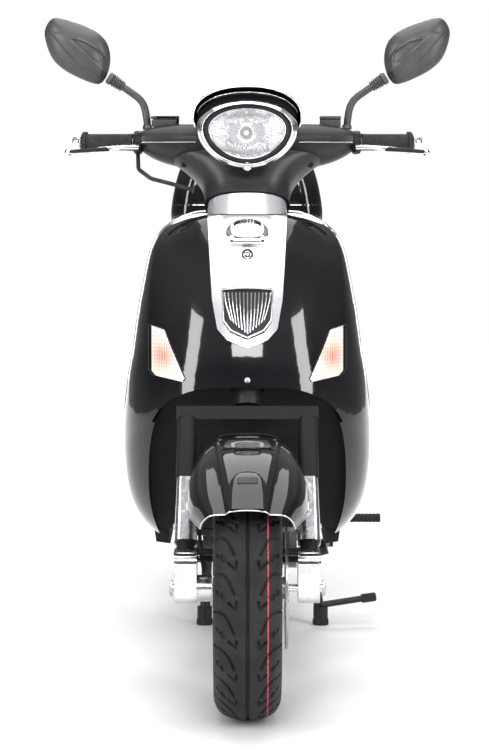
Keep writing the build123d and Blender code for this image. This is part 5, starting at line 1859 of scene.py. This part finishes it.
needle.join(
    lathe([(0, 0.0040), (0.0018, 0.0038), (0.0022, 0.0)], on_dial(0.0, -0.004, 0.0), dial_normal, 24)
)
piece("dial_needle", needle, "steering", amber_plastic)
window = rings(
    [
        [
            on_dial(x, up, lift)
            for x, up in ((-0.016, -0.0165), (0.016, -0.0165), (0.016, -0.0100), (-0.016, -0.0100))
        ]
        for lift in (0.0, 0.0006)
    ]
)
piece("dial_window", window, "steering", silvered, 20)
for number, (x, lamp_finish) in enumerate(
    ((-0.046, amber_plastic), (-0.038, red_plastic), (0.038, amber_plastic), (0.046, red_plastic))
):
    piece(
        f"dial_lamp_{number}",
        lathe([(0, 0.0022), (0.0006, 0.0020), (0.0008, 0.0)], on_dial(x, -0.004), dial_normal, 16),
        "steering",
        lamp_finish,
    )

# ---- engine and drive ----------------------------------------------------------------------------
# Cooling fins round the forward cylinder, a slotted fan cover, a ribbed and bolted belt case with the
# kick-starter shaft, an oil filler, and the rubber-covered kick pedal.
fins = Shape()
for number in range(11):
    y = 0.028 + number * 0.0092
    fins.join(slab((-0.0600, y, 0.2800), (0.0600, y + 0.0022, 0.3785), 0.0006))
piece("cylinder_fins", fins, "frame", cast_alloy)
engine_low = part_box("engine")[0]
fan_parts = Shape()
FAN = Vector((engine_low.x, 0.202, 0.308))
for number in range(24):
    angle = 2 * math.pi * number / 24
    reach = [
        Vector((0, r * math.cos(angle + r * 6), r * math.sin(angle + r * 6)))
        for r in (0.016, 0.028, 0.040, 0.050)
    ]
    fan_parts.join(tube([FAN + p for p in reach], 0.0022, 8))
for radius in (0.016, 0.033, 0.051):
    circle = [
        FAN + Vector((0, radius * math.cos(a), radius * math.sin(a)))
        for a in (2 * math.pi * k / 60 for k in range(60))
    ]
    fan_parts.join(tube(circle, 0.0026, 8, closed=True))
fan_parts.join(lathe([(-0.001, 0.010), (0.002, 0.009), (0.0026, 0.0)], FAN, (-1, 0, 0), 24, False))
piece("fan_grille", fan_parts, "frame", matte_black)
engine_bolts = Shape()
for number in range(5):
    angle = 2 * math.pi * (number + 0.3) / 5
    engine_bolts.join(
        screw_head(
            FAN + Vector((0, 0.061 * math.cos(angle), 0.061 * math.sin(angle))),
            Vector((-1, 0, 0)),
            0.0048,
            0.0018,
        )
    )
case_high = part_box("belt_case")[1]
case_ends = (Vector((0, 0.210, 0.307)), Vector((0, rear_axle.y, rear_axle.z)))


def round_case(inset, count=64):
    """The belt case's outline, drawn in by inset, as (y, z) pairs."""
    first, second = case_ends
    span = second - first
    radii = (0.084 - inset, 0.062 - inset)
    lean = math.atan2(span.z, span.y)
    open_by = math.acos((radii[0] - radii[1]) / span.length)
    line = []
    for step in range(count // 2):
        angle = lean + open_by + (2 * math.pi - 2 * open_by) * step / (count // 2 - 1)
        line.append((first.y + radii[0] * math.cos(angle), first.z + radii[0] * math.sin(angle)))
    for step in range(count // 2):
        angle = lean - open_by + 2 * open_by * step / (count // 2 - 1)
        line.append((second.y + radii[1] * math.cos(angle), second.z + radii[1] * math.sin(angle)))
    return line


case_parts = Shape()
x_out = case_high.x
case_parts.join(tube([(x_out - 0.0005, y, z) for y, z in round_case(0.006)], 0.0030, 10, closed=True))
case_parts.join(tube([(x_out - 0.0010, y, z) for y, z in round_case(0.026)], 0.0026, 10, closed=True))
for number in range(6):
    y = 0.245 + number * 0.042
    case_parts.join(
        tube(
            [
                (x_out - 0.0012, y, 0.288 - number * 0.006),
                (x_out - 0.0012, y + 0.018, 0.326 - number * 0.011),
            ],
            0.0028,
            8,
        )
    )
case_parts.join(
    lathe(
        [(-0.001, 0.026), (0.0015, 0.025), (0.0022, 0.018), (0.0010, 0.016), (0.0010, 0.0)],
        (x_out, 0.210, 0.307),
        (1, 0, 0),
        48,
        False,
    )
)
case_parts.join(
    lathe(
        [(-0.001, 0.022), (0.0018, 0.021), (0.0022, 0.0)],
        (x_out, rear_axle.y, rear_axle.z),
        (1, 0, 0),
        48,
        False,
    )
)
piece("belt_case_ribs", case_parts, "frame", cast_alloy)
for y, z in round_case(0.012, 28)[::2]:
    engine_bolts.join(screw_head(Vector((x_out, y, z)), Vector((1, 0, 0)), 0.0046, 0.0024))
piece("engine_bolts", engine_bolts, "frame", steel)
filler = lathe(
    [(0, 0.012), (0.006, 0.012), (0.007, 0.014), (0.016, 0.014), (0.017, 0.010), (0.017, 0.0)],
    (0.040, 0.252, 0.372),
    (0.2, 0.4, 1),
    24,
)
piece("oil_filler", filler, "frame", matte_black)
kick_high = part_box("kick_starter")[1]
pedal = lathe(
    [(0, 0.0085), (0.002, 0.0098)] + [
        (0.006 + 0.008 * k + d, r)
        for k in range(7)
        for d, r in ((0, 0.0098), (0.001, 0.0088), (0.003, 0.0088), (0.004, 0.0098))
    ] + [(0.064, 0.0098), (0.066, 0.0085)],
    (kick_high.x - 0.0665, 0.250, 0.226),
    (1, 0, 0),
    24,
)
piece("kick_rubber", pedal, "frame", rubber)

# ---- exhaust and rear dampers --------------------------------------------------------------------
# A slotted heat shield on bands over the silencer, an end cap with its outlet, and a coil spring with
# seats and a preload collar round each damper.
SILENCER_FRONT = Vector((-0.160, 0.380, 0.236))
SILENCER_REAR = Vector((-0.160, 0.730, 0.284))
silencer_way = (SILENCER_REAR - SILENCER_FRONT).normalized()
silencer_up = Vector((-1, 0, 0)).cross(silencer_way).normalized()
if silencer_up.z < 0:
    silencer_up = -silencer_up


def on_silencer(along, angle, radius):
    """A point round the silencer; angle 0 faces outwards and a right angle faces up."""
    away = Vector((-1, 0, 0)) * math.cos(angle) + silencer_up * math.sin(angle)
    return SILENCER_FRONT + silencer_way * along + away * radius


shield_loops = []
for share in range(41):
    along = 0.060 + 0.210 * share / 40
    round_off = min(share, 40 - share) / 40
    spread = math.radians(50) * min(1.0, 0.55 + 3.2 * round_off)
    arc = [(-spread + 2 * spread * k / 24 + math.radians(12)) for k in range(25)]
    outer = [
        on_silencer(along, a, 0.0452 + 0.0025 * math.cos(min(1.5, abs(k - 12) / 8)) ** 2)
        for k, a in enumerate(arc)
    ]
    inner = [on_silencer(along, a, 0.0436) for a in reversed(arc)]
    shield_loops.append(outer + inner)
piece("heat_shield", rings(shield_loops), "frame", chrome, 50)
silencer_parts = Shape()
for along in (0.045, 0.300):
    circle = [on_silencer(along, 2 * math.pi * k / 64, 0.0424) for k in range(64)]
    silencer_parts.join(tube(circle, 0.0032, 8, closed=True, flat=1.8))
silencer_parts.join(
    lathe(
        [(-0.004, 0.0418), (0.002, 0.0400), (0.006, 0.0330), (0.006, 0.0)],
        SILENCER_REAR,
        silencer_way,
        48,
        False,
    )
)
outlet = SILENCER_REAR + silencer_up * -0.014
silencer_parts.join(
    lathe(
        [(0.002, 0.0115), (0.0145, 0.0115), (0.0145, 0.0085), (0.004, 0.0085), (0.004, 0.0)],
        outlet,
        silencer_way,
        32,
        False,
    )
)
piece("silencer_trim", silencer_parts, "frame", dark_exhaust, 50)
shield_screws = Shape()
for along, angle in ((0.085, 0.55), (0.085, -0.20), (0.245, 0.55), (0.245, -0.20)):
    spot = on_silencer(along, angle, 0.0466)
    shield_screws.join(
        screw_head(spot, (spot - on_silencer(along, angle, 0.0)).normalized(), 0.0050, 0.0024)
    )
piece("shield_screws", shield_screws, "frame", steel)

shock_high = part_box("rear_shocks")[1]
springs = Shape()
collars = Shape()
shock_foot = Vector((shock_high.x - 0.013, 0.562, 0.336))
shock_head = Vector((shock_high.x - 0.013, 0.534, 0.604))
shock_way = (shock_head - shock_foot).normalized()
shock_side = shock_way.cross(Vector((1, 0, 0))).normalized()
shock_out = shock_side.cross(shock_way).normalized()
shock_length = (shock_head - shock_foot).length
coil = []
for step in range(9 * 20 + 1):
    angle = 2 * math.pi * step / 20
    along = 0.034 + (shock_length - 0.068) * step / 180
    coil.append(
        shock_foot + shock_way * along + (
            shock_side * math.cos(angle) + shock_out * math.sin(angle)
        ) * 0.0175
    )
springs.join(tube(coil, 0.0034, 8))
for along, radius in ((0.028, 0.0205), (shock_length - 0.028, 0.0205)):
    collars.join(
        lathe(
            [(-0.003, 0.012), (-0.003, radius), (0.003, radius), (0.003, 0.012)],
            shock_foot + shock_way * along,
            shock_way,
            32,
            False,
        )
    )
collars.join(
    lathe(
        [(0, 0.012), (0, 0.0135), (0.090, 0.0135), (0.090, 0.010)],
        shock_foot + shock_way * 0.03,
        shock_way,
        32,
        False,
    )
)
piece("shock_springs", springs.both(), "frame", chrome, 50)
piece("shock_seats", collars.both(), "frame", satin_black, 50)

# ---- stands --------------------------------------------------------------------------------------
# Rubber shoes on the centre stand's feet, its return spring, and a ribbed sleeve on the tang.
shoes = Shape()
for x in (-0.092, 0.160):
    shoes.join(
        lathe(
            [(0.0002, 0.0158), (0.0015, 0.0175), (0.012, 0.0172), (0.014, 0.0162)],
            (x, 0.195, 0),
            (0, 0, 1),
            32,
            False,
        )
    )
piece("stand_shoes", shoes, "centre_stand", rubber)
tang = [(0.0, 0.0088)]
for notch in range(6):
    tang += [
        (0.003 + notch * 0.0042, 0.0100), (0.0048 + notch * 0.0042, 0.0100),
        (0.0056 + notch * 0.0042, 0.0091),
    ]
tang += [(0.030, 0.0100), (0.031, 0.0088)]
tang_way = Vector((0.030, 0.007, 0.003)).normalized()
piece(
    "stand_tang", lathe(tang, (0.2495, 0.2112, 0.0540), tang_way, 24), "centre_stand", rubber
)


def pull_spring(start, end, radius=0.0055, wire=0.0013, turns=18):
    """A close-wound pull spring with straight hooks."""
    start, end = Vector(start), Vector(end)
    way = (end - start).normalized()
    side = way.orthogonal().normalized()
    other = way.cross(side)
    line = [start, start + way * 0.012]
    span = (end - start).length - 0.028
    for step in range(turns * 12 + 1):
        angle = 2 * math.pi * step / 12
        line.append(
            start + way * (0.014 + span * step / (turns * 12)) + (
                side * math.cos(angle) + other * math.sin(angle)
            ) * radius
        )
    line += [end - way * 0.012, end]
    return tube(line, wire, 6)


piece(
    "stand_spring",
    pull_spring((-0.070, 0.210, 0.135), (-0.062, 0.120, 0.240)),
    "centre_stand",
    steel,
)

# ---- luggage box ---------------------------------------------------------------------------------
# A soft lip and a bright band where lid meets base, a latch with its key barrel and two reflectors at
# the back, and rubber buffers on the rack.
base_skin = Feeler("top_box_base")
lid_skin = Feeler("top_box_lid")
box_low, box_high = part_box("top_box_base")
box_centre = ((box_low.x + box_high.x) / 2, (box_low.y + box_high.y) / 2)
band = base_skin.belt(box_centre, box_high.z - 0.007, -0.0020, 160)
piece("box_band", tube(band, 0.0022, 10, closed=True), "frame", chrome, 60)
lid_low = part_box("top_box_lid")[0].z
lip = lid_skin.belt(box_centre, lid_low + 0.007, -0.0018, 160)
piece("box_lip", tube(lip, 0.0020, 10, closed=True), "top_box_lid", rubber, 60)
latch = Shape()
met = base_skin.meet((0, box_high.y + 0.3, 0.846), (0, -1, 0))
if met:
    spot = met[0]
    latch.join(
        slab((-0.030, spot.y - 0.006, spot.z - 0.018), (0.030, spot.y + 0.0035, spot.z + 0.018), 0.003)
    )
    latch.join(
        lathe(
            [(0, 0.0085), (0.0022, 0.0080), (0.0022, 0.0050), (0.001, 0.0)],
            (0, spot.y + 0.0032, spot.z - 0.004),
            (0, 1, 0),
            32,
            False,
        )
    )
    piece("box_latch", latch, "frame", satin_black, 40)
box_reflectors = Shape()
for x in (-0.092, 0.092):
    outline = []
    for px, pz in ((x - 0.036, 0.846), (x + 0.036, 0.846), (x + 0.036, 0.868), (x - 0.036, 0.868)):
        met = base_skin.meet((px, box_high.y + 0.3, pz), (0, -1, 0))
        outline.append(met)
    if all(outline):
        box_reflectors.join(rings([[m[0] + m[1] * lift for m in outline] for lift in (-0.001, 0.0024)]))
piece("box_reflectors", box_reflectors, "frame", red_plastic, 30)
buffers = Shape()
for x in (-0.070, 0.070):
    for y in (0.680, 0.860):
        met = base_skin.meet((x, y, 0.60), (0, 0, 1))
        if met:
            buffers.join(lathe([(-0.0015, 0.009), (0.0, 0.010), (0.0, 0.0)], met[0], (0, 0, -1), 20))
piece("rack_buffers", buffers, "frame", rubber)

# ---- tail ----------------------------------------------------------------------------------------
# A bright frame round the tail lamp with its lens ribs, amber outer lamps, screws on the plate and its
# lamp, and the seat lock under the cushion.
cowl_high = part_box("rear_cowl")[1]


def tail_tint(w):
    """Red in the middle, amber on the outer lamps, with a black stalk between."""
    x = w.math("ABSOLUTE", w.node("ShaderNodeSeparateXYZ", {}, {"Vector": w.place()}))
    red = w.noise(30.0, 2).tint((0.50, 0.010, 0.008), (0.66, 0.020, 0.015))
    amber = w.noise(30.0, 2).tint((0.78, 0.20, 0.02), (0.92, 0.30, 0.04))
    black = w.noise(30.0, 2).tint((0.010, 0.010, 0.011), (0.020, 0.020, 0.022))
    inner = w.node(
        "ShaderNodeMix",
        {"data_type": "RGBA"},
        {"Factor": x.within(0.0955, 0.0960), 6: red, 7: black},
        output=2,
    )
    return w.node(
        "ShaderNodeMix",
        {"data_type": "RGBA"},
        {"Factor": x.within(0.1155, 0.1160), 6: inner, 7: amber},
        output=2,
    )


def lens_ribs(w):
    """Moulded prisms inside the lenses."""
    fine = w.node("ShaderNodeTexWave", {"bands_direction": "X"}, {"Vector": w.place(), "Scale": 95.0})
    tall = w.node("ShaderNodeTexWave", {"bands_direction": "Z"}, {"Vector": w.place(), "Scale": 40.0})
    return fine * 0.6 + tall * 0.4


tail_lens = finish(
    "tail_lens",
    tail_tint,
    lambda w: w.noise(60.0, 3) * 0.05 + 0.06,
    bump=lens_ribs,
    depth=0.0006,
    coat_weight=1.0,
)
dress(tail_lens, "rear_lamps")


def tail_outline(half_x, half_z, y, count=96):
    """The squared oval of the tail lamp."""
    loop = []
    for step in range(count):
        angle = 2 * math.pi * step / count
        c, s = math.cos(angle), math.sin(angle)
        x = half_x * math.copysign(abs(c) ** (2 / 3), c)
        z = 0.698 + half_z * math.copysign(abs(s) ** (2 / 3), s)
        loop.append(Vector((x, y, z)))
    return loop


tail_y = cowl_high.y
tail_frame = [(0.0, 0.002), (0.0, 0.0075), (0.0030, 0.0095), (0.0048, 0.0075), (0.0048, 0.002)]
tail_loops = [tail_outline(0.0905 + grow, 0.0330 + grow, tail_y + lift) for grow, lift in tail_frame]
piece("tail_frame", rings(tail_loops, cap=False), "frame", chrome, 50)
plate_skin = Feeler("number_plate")
plate_low, plate_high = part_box("number_plate")
plate_screws = Shape()
for x in (-0.055, 0.055):
    met = plate_skin.meet((x, 1.2, 0.575), (0, -1, 0))
    if met:
        plate_screws.join(screw_head(*met, 0.0058, 0.0022))
piece("plate_screws", plate_screws, "frame", steel)
plate_edge = []
for x, z in ((-0.083, 0.434), (0.083, 0.434), (0.083, 0.589), (-0.083, 0.589)):
    met = plate_skin.meet((x, 1.2, z), (0, -1, 0), 0.0002)
    if met:
        plate_edge.append(met[0])
plate_line = []
for a, b in zip(plate_edge, plate_edge[1:] + plate_edge[:1]):
    plate_line += [a.lerp(b, k / 12) for k in range(12)]
piece("plate_border", tube(plate_line, 0.0010, 6, closed=True), "frame", matte_black)
plate_lamp = slab(
    (-0.026, plate_low.y - 0.006, plate_high.z + 0.004),
    (0.026, plate_low.y + 0.018, plate_high.z + 0.016),
    0.004,
)
piece("plate_lamp", plate_lamp, "frame", satin_black)
cowl_skin = Feeler("rear_cowl")


def on_cowl(side, y, z, lift=0.0):
    """A point of the rear cowl's flank."""
    return cowl_skin.meet((side * 0.6, y, z), (-side, 0, 0), lift)


cowl_trim = Shape()
cowl_seam = Shape()
for side in (-1, 1):
    for low_z, parts, radius in ((0.640, cowl_trim, 0.0026), (0.520, cowl_seam, 0.0012)):
        line = []
        for step in range(61):
            share = step / 60
            met = on_cowl(
                side, -0.060 + 0.740 * share, low_z + 0.040 * math.sin(math.pi * share) + 0.018 * share, 0.0
            )
            if met:
                line.append(met[0])
        if len(line) > 10:
            parts.join(tube(line, radius, 8, flat=0.8))
piece("cowl_trim", cowl_trim, "frame", chrome)
piece("cowl_seam", cowl_seam, "frame", hole_dark)
met = on_cowl(-1, 0.610, 0.700)
if met:
    lock = lathe(
        [(-0.001, 0.011), (0.0022, 0.0105), (0.003, 0.008), (0.0015, 0.0065), (0.0015, 0.0)],
        *met,
        32,
        False,
    )
    piece("seat_lock", lock, "frame", chrome, 50)
cowl_screws = Shape()
for side in (-1, 1):
    for y, z in ((-0.040, 0.560), (0.120, 0.600), (0.640, 0.600)):
        met = on_cowl(side, y, z)
        if met:
            cowl_screws.join(screw_head(*met, 0.0050, 0.0020))
piece("cowl_screws", cowl_screws, "frame", steel)
